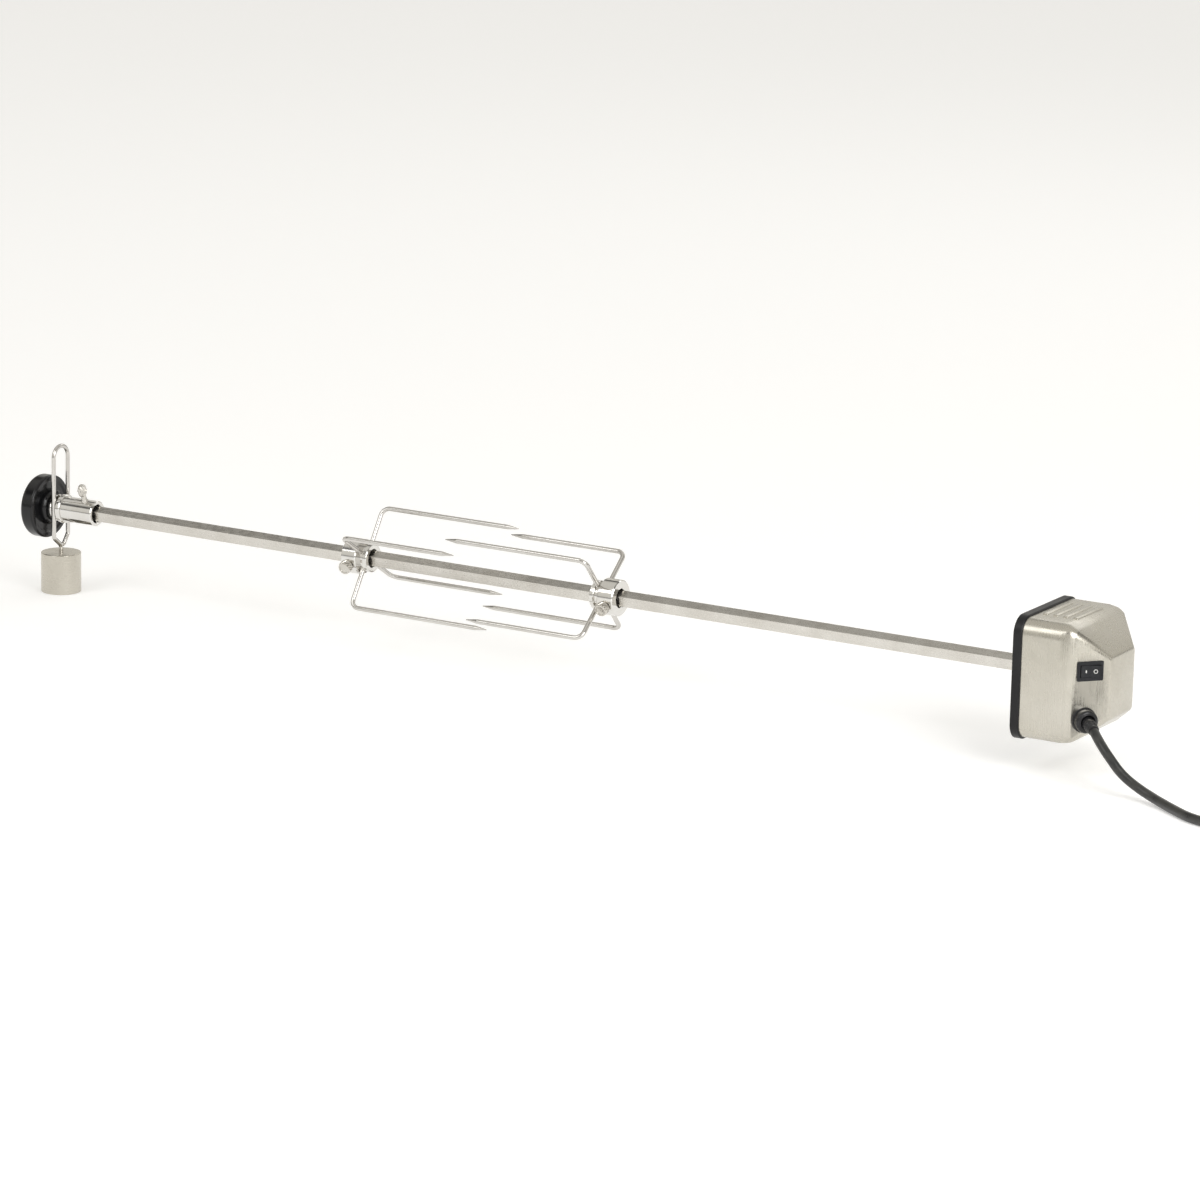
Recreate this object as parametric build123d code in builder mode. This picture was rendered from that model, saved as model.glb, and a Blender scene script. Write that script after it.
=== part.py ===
"""Grill rotisserie spit kit: a geared motor in a steel housing turns a square spit rod that carries
two four-tined meat forks, a clamped handle and an adjustable counterweight.

Frame: millimetres, +X along the spit rod towards the motor's nose, +Z up, -Y towards the switch.
Origin: on the rod's axis, in the mounting face at the back of the motor.
"""

import os
from math import acos, atan, cos, degrees, hypot, pi, radians, sin, sqrt, tan

from build123d import *

os.makedirs("parts", exist_ok=True)

# ---------------------------------------------------------------- driving dimensions

# spit rod
rod_side = 9.5
rod_roll = 20.0  # the square section is turned this far about the rod's own axis
rod_end_x = -927.0
rod_tip_x = 24.5
rod_point_length = 8.0
rod_tip_side = 3.0
bore_gap = 1.03  # between the rod's edges and the bores that slide over it

# motor housing
motor_width = 100.0
motor_height = 98.0
base_thickness = 7.0
base_corner = 14.0
shell_step = 1.5  # the steel shell stands this far inside the base plate's edge
shell_corner = 12.5
shell_wall = 1.0
wall_end_x = 45.0  # the straight walls end here and the facets begin
nose_x = 70.0
nose_half_width = 21.0
nose_top_z = 21.5
nose_bottom_z = -28.0
nose_fillet = 1.6
corner_post_y = 42.0
corner_post_z = 41.0
corner_post_radius = 5.0
corner_post_end_x = 26.0
louvre_count = 4
louvre_pitch = 8.5
louvre_first_x = 13.0
louvre_length = 46.0
louvre_radius = 2.6
louvre_wall = 0.8

# mounting bracket holes in the base plate
bracket_spacing_y = 80.0
bracket_spacing_z = 36.0
bracket_hole_radius = 2.75

# gear train, from the spindle to the motor's rotor
module_slow = 1.0
module_fast = 0.6
wheel_teeth = 48
pinion_teeth = 12
pressure_angle = 20.0
addendum = 0.85  # of the module
dedendum = 1.15  # of the module
tooth_thinning = 0.10  # of the module, off each side of a tooth at the pitch circle
second_axis_angle = 135.0
third_axis_angle = 28.0
rotor_axis_angle = -30.0
slow_wheel_width = 6.0
fast_wheel_width = 2.4
gear_step = 0.5  # along X between one gear and the next layer
gear_shaft_radius = 2.0

# gearbox plates, spindle and motor
plate_size = 72.0
plate_thickness = 1.5
gear_space = 17.0
spindle_radius = 9.5
spindle_start_x = 1.0
spindle_floor = 1.6
socket_gap = 0.25  # between the rod's flats and the spindle's square socket
front_bushing_radius = 12.0
rear_bushing_radius = 11.5
rear_bushing_length = 2.7
spacer_radius = 4.0
spacer_places = [(32.0, 31.0), (31.0, -31.0), (-31.0, -31.0), (-33.0, 0.0)]
can_radius = 20.0
can_length = 18.0
can_wall = 1.2
rotor_radius = 8.0
rotor_shaft_radius = 1.5
coil_gap = 1.4

# machine screws in the motor
machine_screw_radius = 1.6
machine_head_radius = 3.4
machine_head_height = 2.2
machine_screw_length = 12.0

# handle end
rod_in_collar = 22.0
collar_length = 33.0
collar_wall = 3.25
collar_bore_depth = 25.0
collar_flange_step = 1.6
collar_flange = 4.6
neck_radius = 7.0
ring_thickness = 3.6
ring_radius = 11.6
knob_radius = 27.5
knob_thickness = 13.5
knob_hub = 4.5
knob_hub_radius = 15.0
knob_cap_radius = 8.0
stud_radius = 4.0
collar_screw_back = 11.0  # from the collar's inner end
collar_screw_radius = 3.0
collar_screw_angle = 90.0 + rod_roll

# counterweight
loop_wire = 3.8
loop_spread = 20.0
loop_top_z = 57.0
weight_radius = 17.5
weight_top_z = -39.0
weight_height = 35.0
weight_stem_depth = 11.0

# meat forks
left_fork_x = -625.0
right_fork_x = -394.5
fork_wire = 4.0
fork_radius = 45.0
long_tine = 134.0
short_tine = 110.0
tine_bend = 7.0
tine_point = 11.0
tine_tip_radius = 0.4
fork_body_wall = 7.25
fork_body_length = 14.5
fork_neck_length = 5.0
fork_neck_wall = 2.75
fork_flange_wall = 4.25
fork_flange = 4.0
left_tine_angle = 58.0
right_tine_angle = 41.0
fork_screw_radius = 2.5
fork_screw_angle = 180.0 + rod_roll

# thumbscrew tabs
tab_width = 8.5
tab_height = 11.5
tab_thickness = 3.4
tab_neck = 5.0
tab_corner = 4.2
knurled_head_radius = 5.6
knurled_head_height = 6.5
knurled_head_gap = 0.6  # between the collar and the head

# switch and cable gland on the angled side facet
switch_width = 21.5
switch_height = 15.5
switch_flange = 1.6
switch_body_width = 18.6
switch_body_height = 12.6
switch_depth = 16.0
switch_pocket_width = 16.8
switch_pocket_height = 9.8
switch_z = 12.0
switch_along = 19.5  # along the facet from where the straight wall ends
rocker_width = 15.2
rocker_height = 9.2
rocker_tilt = 8.0
rocker_rise = 3.4
rocker_pin_radius = 1.0
gland_z = -26.0
gland_along = 15.6
gland_radius = 10.0
gland_flange = 3.2
gland_thread_wall = 2.0
gland_cap_radius = 9.0
gland_cap = 7.0
relief_wall = 1.75

# mains cord, coil and plug
cord_radius = 3.75
coil_radius = 50.0
coil_inner_radius = 27.0
coil_layers = 2
coil_centre = (262.0, -133.0)
plug_place = (323.0, -138.0)
plug_tail = 18.0
plug_length = 26.0
plug_width = 26.0
plug_height = 22.0
plug_corner = 6.0
blade_pitch = 12.7
blade_length = 16.0
earth_pin_radius = 2.4

# clearances
running = 0.05
free_gap = 0.3

# ---------------------------------------------------------------- derived sizes


rod_bore = rod_side / sqrt(2) + bore_gap
collar_end_x = rod_end_x + rod_in_collar
collar_radius = rod_bore + collar_wall
collar_flange_radius = collar_radius + collar_flange_step
fork_body_radius = rod_bore + fork_body_wall
fork_neck_radius = rod_bore + fork_neck_wall
fork_flange_radius = rod_bore + fork_flange_wall
relief_radius = cord_radius + relief_wall
gland_thread_radius = relief_radius + gland_thread_wall
half_width = motor_width / 2 - shell_step
half_height = motor_height / 2 - shell_step
floor_z = weight_top_z - weight_height
front_plate_end = base_thickness + plate_thickness
rear_plate_x = front_plate_end + gear_space
rear_plate_end = rear_plate_x + plate_thickness
facet_run = nose_x - wall_end_x
facet_fall = half_width - nose_half_width
facet_length = hypot(facet_run, facet_fall)
facet_normal = Vector(facet_fall / facet_length, -facet_run / facet_length, 0)
facet_along = Vector(facet_run / facet_length, facet_fall / facet_length, 0)
facet_axis = Axis((0, 0, 0), facet_normal)


def write(piece, label):
    """Label a finished piece and write its STEP file."""
    piece.part.label = label
    export_step(piece.part, f"parts/{label}.step")


def turned(outline):
    """A solid of revolution about the rod's axis from an outline of (x, radius) points."""
    with BuildPart() as piece:
        with BuildSketch(Plane.XZ):
            with BuildLine():
                Polyline(*outline, close=True)
            make_face()
        revolve(axis=Axis.X)
    return piece.part


def spoke(x, angle):
    """A plane whose normal points away from the rod's axis at this angle from +Y towards +Z."""
    return Plane(
        origin=(x, 0, 0),
        x_dir=(1, 0, 0),
        z_dir=(0, cos(radians(angle)), sin(radians(angle))),
    )


def facet_plane(along, z, lift=0.0):
    """A plane on the outside of the angled side facet, its x along the facet and its y upwards."""
    corner = Vector(wall_end_x, -half_width, z)
    return Plane(
        origin=corner + facet_along * along + facet_normal * lift,
        x_dir=facet_along,
        z_dir=facet_normal,
    )


# ---------------------------------------------------------------- motor housing

corner_places = [(y * corner_post_y, z * corner_post_z) for y in (-1, 1) for z in (-1, 1)]
screw_places = corner_places + spacer_places
counterbore_depth = machine_head_height + 0.8

with BuildPart() as base_plate:
    with BuildSketch(Plane.YZ):
        RectangleRounded(motor_width, motor_height, base_corner)
    extrude(amount=base_thickness)
    chamfer(base_plate.faces().sort_by(Axis.X)[-1].edges(), length=0.8)
    with BuildSketch(Plane.YZ):
        Circle(front_bushing_radius)
        with Locations(*screw_places):
            Circle(machine_screw_radius + free_gap)
        with GridLocations(bracket_spacing_y, bracket_spacing_z, 2, 2):
            Circle(bracket_hole_radius)
    extrude(amount=base_thickness, mode=Mode.SUBTRACT)
    with BuildSketch(Plane.YZ):
        with Locations(*screw_places):
            Circle(machine_head_radius + free_gap)
    extrude(amount=counterbore_depth, mode=Mode.SUBTRACT)
write(base_plate, "base_plate")


def housing_form(inset):
    """The faceted form of the housing, drawn in from its outside by this much on every side."""
    side_ratio = (facet_length - facet_run) / facet_fall
    top_fall = half_height - nose_top_z
    bottom_fall = half_height + nose_bottom_z
    high = half_height - inset
    wide = half_width - inset
    with BuildPart() as form:
        with BuildSketch(Plane.YZ.offset(base_thickness)):
            RectangleRounded(2 * wide, 2 * high, shell_corner - inset)
        extrude(amount=nose_x - inset - base_thickness)
        start = wall_end_x - inset * side_ratio
        with BuildSketch(Plane.XY):
            for side in (1, -1):
                with BuildLine():
                    Polyline(
                        (start, side * wide),
                        (start + 2 * facet_run, side * (wide - 2 * facet_fall)),
                        (start + 2 * facet_run, side * 2 * wide),
                        (start, side * 2 * wide),
                        close=True,
                    )
                make_face()
        extrude(amount=2 * high, both=True, mode=Mode.SUBTRACT)
        with BuildSketch(Plane.XZ):
            for side, fall in ((1, top_fall), (-1, bottom_fall)):
                slope = hypot(facet_run, fall)
                foot = wall_end_x - inset * (slope - facet_run) / fall
                with BuildLine():
                    Polyline(
                        (foot, side * high),
                        (foot + 2 * facet_run, side * (high - 2 * fall)),
                        (foot + 2 * facet_run, side * 3 * high),
                        (foot, side * 3 * high),
                        close=True,
                    )
                make_face()
        extrude(amount=2 * wide, both=True, mode=Mode.SUBTRACT)
    return form


inner_form = housing_form(shell_wall)
outer_form = housing_form(0)
louvre_xs = [louvre_first_x + i * louvre_pitch for i in range(louvre_count)]

with BuildPart() as motor_shell:
    add(outer_form.part)
    nose_edges = motor_shell.faces().sort_by(Axis.X)[-1].edges()
    fillet(nose_edges, radius=nose_fillet)
    with BuildSketch(Plane.XZ):
        for x in louvre_xs:
            with Locations((x, half_height)):
                Circle(louvre_radius)
    extrude(amount=louvre_length / 2, both=True)
    add(inner_form.part, mode=Mode.SUBTRACT)
    for x in louvre_xs:
        with BuildSketch(Plane.XZ):
            with Locations((x, half_height)):
                Circle(louvre_radius - louvre_wall)
            with Locations((x, half_height + louvre_radius / 2)):
                Rectangle(2 * louvre_radius, louvre_radius, align=(Align.MAX, Align.CENTER))
        extrude(amount=louvre_length / 2 - louvre_wall, both=True, mode=Mode.SUBTRACT)
    with BuildSketch(Plane.YZ.offset(base_thickness)):
        with Locations(*corner_places):
            Circle(corner_post_radius)
    extrude(amount=corner_post_end_x - base_thickness)
    with BuildSketch(Plane.YZ.offset(base_thickness)):
        with Locations(*corner_places):
            Circle(machine_screw_radius)
    extrude(amount=machine_screw_length, mode=Mode.SUBTRACT)
    with BuildSketch(facet_plane(switch_along, switch_z, 2)):
        Rectangle(switch_body_width + 2 * free_gap, switch_body_height + 2 * free_gap)
    extrude(amount=-5, mode=Mode.SUBTRACT)
    with BuildSketch(facet_plane(gland_along, gland_z, 2)):
        Circle(gland_thread_radius + free_gap)
    extrude(amount=-5, mode=Mode.SUBTRACT)
write(motor_shell, "motor_shell")

head_seat_x = counterbore_depth
shank_end_x = base_thickness + machine_screw_length

with BuildPart() as base_screws:
    with BuildSketch(Plane.YZ.offset(head_seat_x - machine_head_height)):
        with Locations(*screw_places):
            Circle(machine_head_radius)
    extrude(amount=machine_head_height)
    with BuildSketch(Plane.YZ.offset(head_seat_x)):
        with Locations(*screw_places):
            Circle(machine_screw_radius)
    extrude(amount=shank_end_x - head_seat_x)
    with BuildSketch(Plane.YZ.offset(head_seat_x - machine_head_height)):
        with Locations(*screw_places):
            Rectangle(2 * machine_head_radius, 0.8)
    extrude(amount=0.8, mode=Mode.SUBTRACT)
write(base_screws, "base_screws")

# ---------------------------------------------------------------- gear train


def polar(radius, angle, centre=(0.0, 0.0)):
    """The point at this radius and angle from a centre, in the plane across the rod."""
    return (centre[0] + radius * cos(radians(angle)), centre[1] + radius * sin(radians(angle)))


def involute(angle):
    """The involute function of a pressure angle in radians."""
    return tan(angle) - angle


def gear_face(x, centre, module, teeth, phase):
    """A spur gear's outline at x, with a tooth's middle at this phase angle."""
    pitch = module * teeth / 2
    base = pitch * cos(radians(pressure_angle))
    tip = pitch + addendum * module
    root = pitch - dedendum * module
    start = max(base, root)
    half_pitch_angle = pi / (2 * teeth) - tooth_thinning * module / pitch
    flank_radii = [start + (tip - start) * i / 4 for i in range(5)]
    at_pitch = half_pitch_angle + involute(radians(pressure_angle))
    half_angles = [degrees(at_pitch - involute(acos(min(1.0, base / r)))) for r in flank_radii]
    step = 360 / teeth
    with BuildSketch(Plane.YZ.offset(x)) as profile:
        with BuildLine():
            for tooth in range(teeth):
                middle = phase + tooth * step
                rising = [polar(r, middle - a, centre) for r, a in zip(flank_radii, half_angles)]
                falling = [polar(r, middle + a, centre) for r, a in zip(flank_radii, half_angles)]
                foot = polar(root, middle - half_angles[0], centre)
                heel = polar(root, middle + half_angles[0], centre)
                next_foot = polar(root, middle + step - half_angles[0], centre)
                if base > root:
                    Line(foot, rising[0])
                    Line(falling[0], heel)
                Spline(*rising)
                ThreePointArc(rising[-1], polar(tip, middle, centre), falling[-1])
                Spline(*falling)
                ThreePointArc(heel, polar(root, middle + step / 2, centre), next_foot)
        make_face()
    return profile.sketch


slow_distance = module_slow * (wheel_teeth + pinion_teeth) / 2
fast_distance = module_fast * (wheel_teeth + pinion_teeth) / 2
second_axis = polar(slow_distance, second_axis_angle)
third_axis = polar(fast_distance, third_axis_angle, second_axis)
rotor_axis = polar(fast_distance, rotor_axis_angle, third_axis)
half_pinion_step = 180 / pinion_teeth

slow_x = front_plate_end + 2.5
second_wheel_x = slow_x + slow_wheel_width + gear_step + 0.5
third_wheel_x = second_wheel_x + fast_wheel_width + 2 * gear_step

with BuildPart() as spindle:
    with BuildSketch(Plane.YZ.offset(spindle_start_x)):
        Circle(spindle_radius)
    extrude(amount=rear_plate_end - free_gap - spindle_start_x)
    with BuildSketch(Plane.YZ.offset(spindle_start_x)):
        Rectangle(rod_side + 2 * socket_gap, rod_side + 2 * socket_gap, rotation=rod_roll)
    extrude(amount=rear_plate_end - free_gap - spindle_floor - spindle_start_x, mode=Mode.SUBTRACT)
write(spindle, "drive_spindle")

with BuildPart() as output_gear:
    extrude(
        to_extrude=gear_face(slow_x, (0, 0), module_slow, wheel_teeth, second_axis_angle),
        amount=slow_wheel_width,
    )
    with BuildSketch(Plane.YZ.offset(slow_x)):
        Circle(spindle_radius)
    extrude(amount=slow_wheel_width, mode=Mode.SUBTRACT)
write(output_gear, "output_gear")


def compound_gear(
    centre, pinion_x, pinion_width, pinion_module, pinion_phase, wheel_x, wheel_phase
):
    """A wheel and a smaller pinion in one piece, turning on a fixed shaft."""
    with BuildPart() as gear:
        extrude(
            to_extrude=gear_face(pinion_x, centre, pinion_module, pinion_teeth, pinion_phase),
            amount=pinion_width,
        )
        extrude(
            to_extrude=gear_face(wheel_x, centre, module_fast, wheel_teeth, wheel_phase),
            amount=fast_wheel_width,
        )
        with BuildSketch(Plane.YZ.offset(pinion_x)):
            with Locations(centre):
                Circle(gear_shaft_radius + running)
        extrude(amount=gear_space, mode=Mode.SUBTRACT)
    return gear


second_gear = compound_gear(
    second_axis,
    slow_x - gear_step,
    second_wheel_x - slow_x + gear_step,
    module_slow,
    second_axis_angle + 180 + half_pinion_step,
    second_wheel_x,
    third_axis_angle,
)
write(second_gear, "second_gear")

third_gear = compound_gear(
    third_axis,
    second_wheel_x - gear_step,
    third_wheel_x - second_wheel_x + gear_step,
    module_fast,
    third_axis_angle + 180 + half_pinion_step,
    third_wheel_x,
    rotor_axis_angle,
)
write(third_gear, "third_gear")

can_x = rear_plate_end
can_end_x = can_x + can_length
with BuildPart() as rotor:
    extrude(
        to_extrude=gear_face(
            third_wheel_x - gear_step,
            rotor_axis,
            module_fast,
            pinion_teeth,
            rotor_axis_angle + 180 + half_pinion_step,
        ),
        amount=fast_wheel_width + 2 * gear_step,
    )
    with BuildSketch(Plane.YZ.offset(third_wheel_x - gear_step)):
        with Locations(rotor_axis):
            Circle(rotor_shaft_radius)
    extrude(amount=can_end_x - free_gap - third_wheel_x + gear_step)
    with BuildSketch(Plane.YZ.offset(can_x + coil_gap)):
        with Locations(rotor_axis):
            Circle(rotor_radius)
    extrude(amount=can_length - can_wall - 2 * coil_gap)
write(rotor, "rotor")

# ---------------------------------------------------------------- gearbox frame and motor

with BuildPart() as front_plate:
    with BuildSketch(Plane.YZ.offset(base_thickness)):
        RectangleRounded(plate_size, plate_size, 4)
        Circle(front_bushing_radius, mode=Mode.SUBTRACT)
        with Locations(*spacer_places):
            Circle(machine_screw_radius + free_gap, mode=Mode.SUBTRACT)
        with Locations(second_axis, third_axis):
            Circle(gear_shaft_radius, mode=Mode.SUBTRACT)
    extrude(amount=plate_thickness)
write(front_plate, "front_gear_plate")

with BuildPart() as rear_plate:
    with BuildSketch(Plane.YZ.offset(rear_plate_x)):
        RectangleRounded(plate_size, plate_size, 4)
        Circle(rear_bushing_radius, mode=Mode.SUBTRACT)
        with Locations(*spacer_places):
            Circle(machine_screw_radius + free_gap, mode=Mode.SUBTRACT)
        with Locations(second_axis, third_axis):
            Circle(gear_shaft_radius, mode=Mode.SUBTRACT)
        with Locations(rotor_axis):
            Circle(rotor_shaft_radius + running, mode=Mode.SUBTRACT)
    extrude(amount=plate_thickness)
write(rear_plate, "rear_gear_plate")

with BuildPart() as spacers:
    with BuildSketch(Plane.YZ.offset(front_plate_end)):
        with Locations(*spacer_places):
            Circle(spacer_radius)
            Circle(machine_screw_radius, mode=Mode.SUBTRACT)
    extrude(amount=gear_space)
write(spacers, "gearbox_spacers")

with BuildPart() as rear_screws:
    with BuildSketch(Plane.YZ.offset(rear_plate_end)):
        with Locations(*spacer_places):
            Circle(machine_head_radius - 0.4)
    extrude(amount=machine_head_height)
    with BuildSketch(Plane.YZ.offset(rear_plate_end)):
        with Locations(*spacer_places):
            Circle(machine_screw_radius)
    extrude(amount=-(plate_thickness + machine_screw_length / 3))
write(rear_screws, "rear_plate_screws")

with BuildPart() as gear_shafts:
    with BuildSketch(Plane.YZ.offset(base_thickness)):
        with Locations(second_axis, third_axis):
            Circle(gear_shaft_radius)
    extrude(amount=rear_plate_end - base_thickness)
write(gear_shafts, "gear_shafts")

with BuildPart() as front_bushing:
    with BuildSketch(Plane.YZ.offset(spindle_start_x)):
        Circle(front_bushing_radius)
        Circle(spindle_radius + running, mode=Mode.SUBTRACT)
    extrude(amount=front_plate_end - spindle_start_x)
write(front_bushing, "front_bushing")

with BuildPart() as rear_bushing:
    with BuildSketch(Plane.YZ.offset(rear_plate_end)):
        Circle(rear_bushing_radius)
        Circle(spindle_radius + running, mode=Mode.SUBTRACT)
    extrude(amount=-rear_bushing_length)
write(rear_bushing, "rear_bushing")

with BuildPart() as motor_can:
    with BuildSketch(Plane.YZ.offset(can_x)):
        with Locations(rotor_axis):
            Circle(can_radius)
    extrude(amount=can_length)
    fillet(motor_can.faces().sort_by(Axis.X)[-1].edges(), radius=1.5)
    with BuildSketch(Plane.YZ.offset(can_x)):
        with Locations(rotor_axis):
            Circle(can_radius - can_wall)
    extrude(amount=can_length - can_wall, mode=Mode.SUBTRACT)
    with BuildSketch(Plane.YZ.offset(can_x)):
        with Locations(rotor_axis):
            Circle(rotor_shaft_radius + running)
    extrude(amount=can_length, mode=Mode.SUBTRACT)
write(motor_can, "motor_can")

with BuildPart() as motor_coil:
    with BuildSketch(Plane.YZ.offset(can_x + coil_gap / 2)):
        with Locations(rotor_axis):
            Circle(can_radius - can_wall - free_gap)
            Circle(rotor_radius + 2 * free_gap, mode=Mode.SUBTRACT)
    extrude(amount=can_length - can_wall - coil_gap)
    with BuildSketch(Plane.YZ.offset(can_x + 2 * coil_gap)):
        with Locations(rotor_axis):
            Circle(can_radius)
            Circle(can_radius - can_wall - 2.5, mode=Mode.SUBTRACT)
    extrude(amount=can_length - can_wall - 4 * coil_gap, mode=Mode.SUBTRACT)
write(motor_coil, "motor_coil")

# ---------------------------------------------------------------- spit rod

rod_full_end = rod_tip_x - rod_point_length
with BuildPart() as spit_rod:
    with BuildSketch(Plane.YZ.offset(rod_end_x)):
        Rectangle(rod_side, rod_side, rotation=rod_roll)
    extrude(amount=rod_full_end - rod_end_x)
    with BuildSketch(Plane.YZ.offset(rod_full_end)):
        Rectangle(rod_side, rod_side, rotation=rod_roll)
    with BuildSketch(Plane.YZ.offset(rod_tip_x)):
        Rectangle(rod_tip_side, rod_tip_side, rotation=rod_roll)
    loft()
write(spit_rod, "spit_rod")

# ---------------------------------------------------------------- thumbscrews


def thumbscrew(x, angle, shank_radius, seat):
    """A screw that bears on the rod's flat, with an oval tab that faces along the rod."""
    foot = rod_side / 2 + free_gap
    tab_foot = seat + tab_neck
    axis_plane = spoke(x, angle)
    tab_plane = Plane(
        origin=axis_plane.origin + axis_plane.z_dir * (tab_foot + tab_height / 2),
        x_dir=axis_plane.z_dir,
        z_dir=axis_plane.x_dir,
    )
    with BuildPart() as screw:
        with BuildSketch(tab_plane):
            RectangleRounded(tab_height, tab_width, tab_corner)
        extrude(amount=tab_thickness / 2, both=True)
        fillet(screw.faces().filter_by(tab_plane).edges(), radius=0.8)
        with BuildSketch(axis_plane.offset(foot)):
            Circle(shank_radius)
        extrude(amount=tab_foot + 2 - foot)
    return screw


def knurled_screw(x, angle, shank_radius, seat):
    """A screw that bears on the rod's flat, with a round knurled head above the collar."""
    axis_plane = spoke(x, angle)
    foot = rod_side / 2 + free_gap
    head_foot = seat + knurled_head_gap
    with BuildPart() as screw:
        with BuildSketch(axis_plane.offset(head_foot)):
            Circle(knurled_head_radius)
        extrude(amount=knurled_head_height)
        chamfer(screw.edges(), length=0.6)
        with BuildSketch(axis_plane.offset(foot)):
            Circle(shank_radius)
        extrude(amount=head_foot + 2 - foot)
    return screw


# ---------------------------------------------------------------- handle end

collar_far_x = collar_end_x - collar_length
flange_far_x = collar_far_x - collar_flange
neck_far_x = flange_far_x - loop_wire - 2 * free_gap
ring_far_x = neck_far_x - free_gap - ring_thickness
knob_x = ring_far_x - free_gap
knob_face_x = knob_x - knob_hub
knob_far_x = knob_face_x - knob_thickness
groove_x = flange_far_x - free_gap - loop_wire / 2
collar_screw_x = collar_end_x - collar_screw_back
cap_seat_x = knob_far_x + 3.0

collar_outline = [
    (collar_end_x, rod_bore + 0.8),
    (collar_end_x - 0.8, rod_bore),
    (collar_end_x - collar_bore_depth, rod_bore),
    (collar_end_x - collar_bore_depth - 2, 0),
    (cap_seat_x + free_gap, 0),
    (cap_seat_x + free_gap, stud_radius),
    (neck_far_x, stud_radius),
    (neck_far_x, neck_radius),
    (flange_far_x, neck_radius),
    (flange_far_x, collar_flange_radius - 0.8),
    (flange_far_x + 0.8, collar_flange_radius),
    (collar_far_x - 0.8, collar_flange_radius),
    (collar_far_x, collar_flange_radius - 0.8),
    (collar_far_x, collar_radius),
    (collar_end_x - 0.8, collar_radius),
    (collar_end_x, collar_radius - 0.8),
]
with BuildPart() as handle_collar:
    add(turned(collar_outline))
    with BuildSketch(spoke(collar_screw_x, collar_screw_angle)):
        Circle(collar_screw_radius + running)
    extrude(amount=2 * collar_radius, mode=Mode.SUBTRACT)
write(handle_collar, "handle_collar")

collar_screw = thumbscrew(
    collar_screw_x, collar_screw_angle, collar_screw_radius, collar_radius
)
write(collar_screw, "collar_thumbscrew")

ring_outline = [
    (neck_far_x - free_gap, stud_radius + running),
    (neck_far_x - free_gap, ring_radius - 0.8),
    (neck_far_x - free_gap - 0.8, ring_radius),
    (ring_far_x + 0.8, ring_radius),
    (ring_far_x, ring_radius - 0.8),
    (ring_far_x, stud_radius + running),
]
with BuildPart() as clamp_ring:
    add(turned(ring_outline))
write(clamp_ring, "clamp_ring")

with BuildPart() as knob:
    with BuildSketch(Plane.XZ):
        with BuildLine():
            Polyline(
                (cap_seat_x, stud_radius + running),
                (knob_x, stud_radius + running),
                (knob_x, knob_hub_radius - 1.2),
                (knob_x - 1.2, knob_hub_radius),
                (knob_face_x - 1.5, knob_hub_radius + 1.0),
                (knob_face_x - 1.5, knob_radius - 6.0),
                (knob_face_x, knob_radius - 4.5),
                (knob_face_x, knob_radius - 2.0),
            )
            RadiusArc((knob_face_x, knob_radius - 2.0), (knob_face_x - 2.0, knob_radius), -2.0)
            Line((knob_face_x - 2.0, knob_radius), (knob_far_x + 4.0, knob_radius))
            RadiusArc((knob_far_x + 4.0, knob_radius), (knob_far_x, knob_radius - 4.0), -4.0)
            Polyline(
                (knob_far_x, knob_radius - 4.0),
                (knob_far_x, knob_cap_radius),
                (cap_seat_x, knob_cap_radius),
                (cap_seat_x, stud_radius + running),
            )
        make_face()
    revolve(axis=Axis.X)
write(knob, "handle_knob")

with BuildPart() as knob_cap:
    with BuildSketch(Plane.YZ.offset(cap_seat_x)):
        Circle(knob_cap_radius)
    extrude(amount=-4.2)
    fillet(knob_cap.faces().sort_by(Axis.X)[0].edges(), radius=1.0)
write(knob_cap, "knob_cap")

# ---------------------------------------------------------------- counterweight

leg_y = loop_spread / 2
loop_arc_z = loop_top_z - loop_wire / 2 - leg_y
stem_foot_z = weight_top_z - weight_stem_depth
with BuildPart() as weight_loop:
    with BuildLine(Plane.YZ.offset(groove_x)) as loop_line:
        FilletPolyline(
            (0, stem_foot_z),
            (0, weight_top_z + 6),
            (-leg_y, weight_top_z + 14),
            (-leg_y, loop_arc_z),
            radius=4.0,
        )
        ThreePointArc((-leg_y, loop_arc_z), (0, loop_arc_z + leg_y), (leg_y, loop_arc_z))
        FilletPolyline(
            (leg_y, loop_arc_z),
            (leg_y, weight_top_z + 15),
            (loop_wire + 0.15, weight_top_z + 6.5),
            radius=4.0,
        )
    with BuildSketch(Plane((groove_x, 0, stem_foot_z))):
        Circle(loop_wire / 2)
    sweep(path=loop_line.wires()[0])
write(weight_loop, "weight_loop")

with BuildPart() as counterweight:
    with BuildSketch(Plane((groove_x, 0, weight_top_z - weight_height))):
        Circle(weight_radius)
    extrude(amount=weight_height)
    fillet(counterweight.edges().filter_by(GeomType.CIRCLE), radius=0.8)
    with BuildSketch(Plane((groove_x, 0, weight_top_z))):
        Circle(loop_wire / 2)
    extrude(amount=-weight_stem_depth, mode=Mode.SUBTRACT)
write(counterweight, "counterweight")

# ---------------------------------------------------------------- meat forks

half_neck = fork_neck_length / 2
fork_screw_offset = half_neck + fork_body_length / 2


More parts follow.
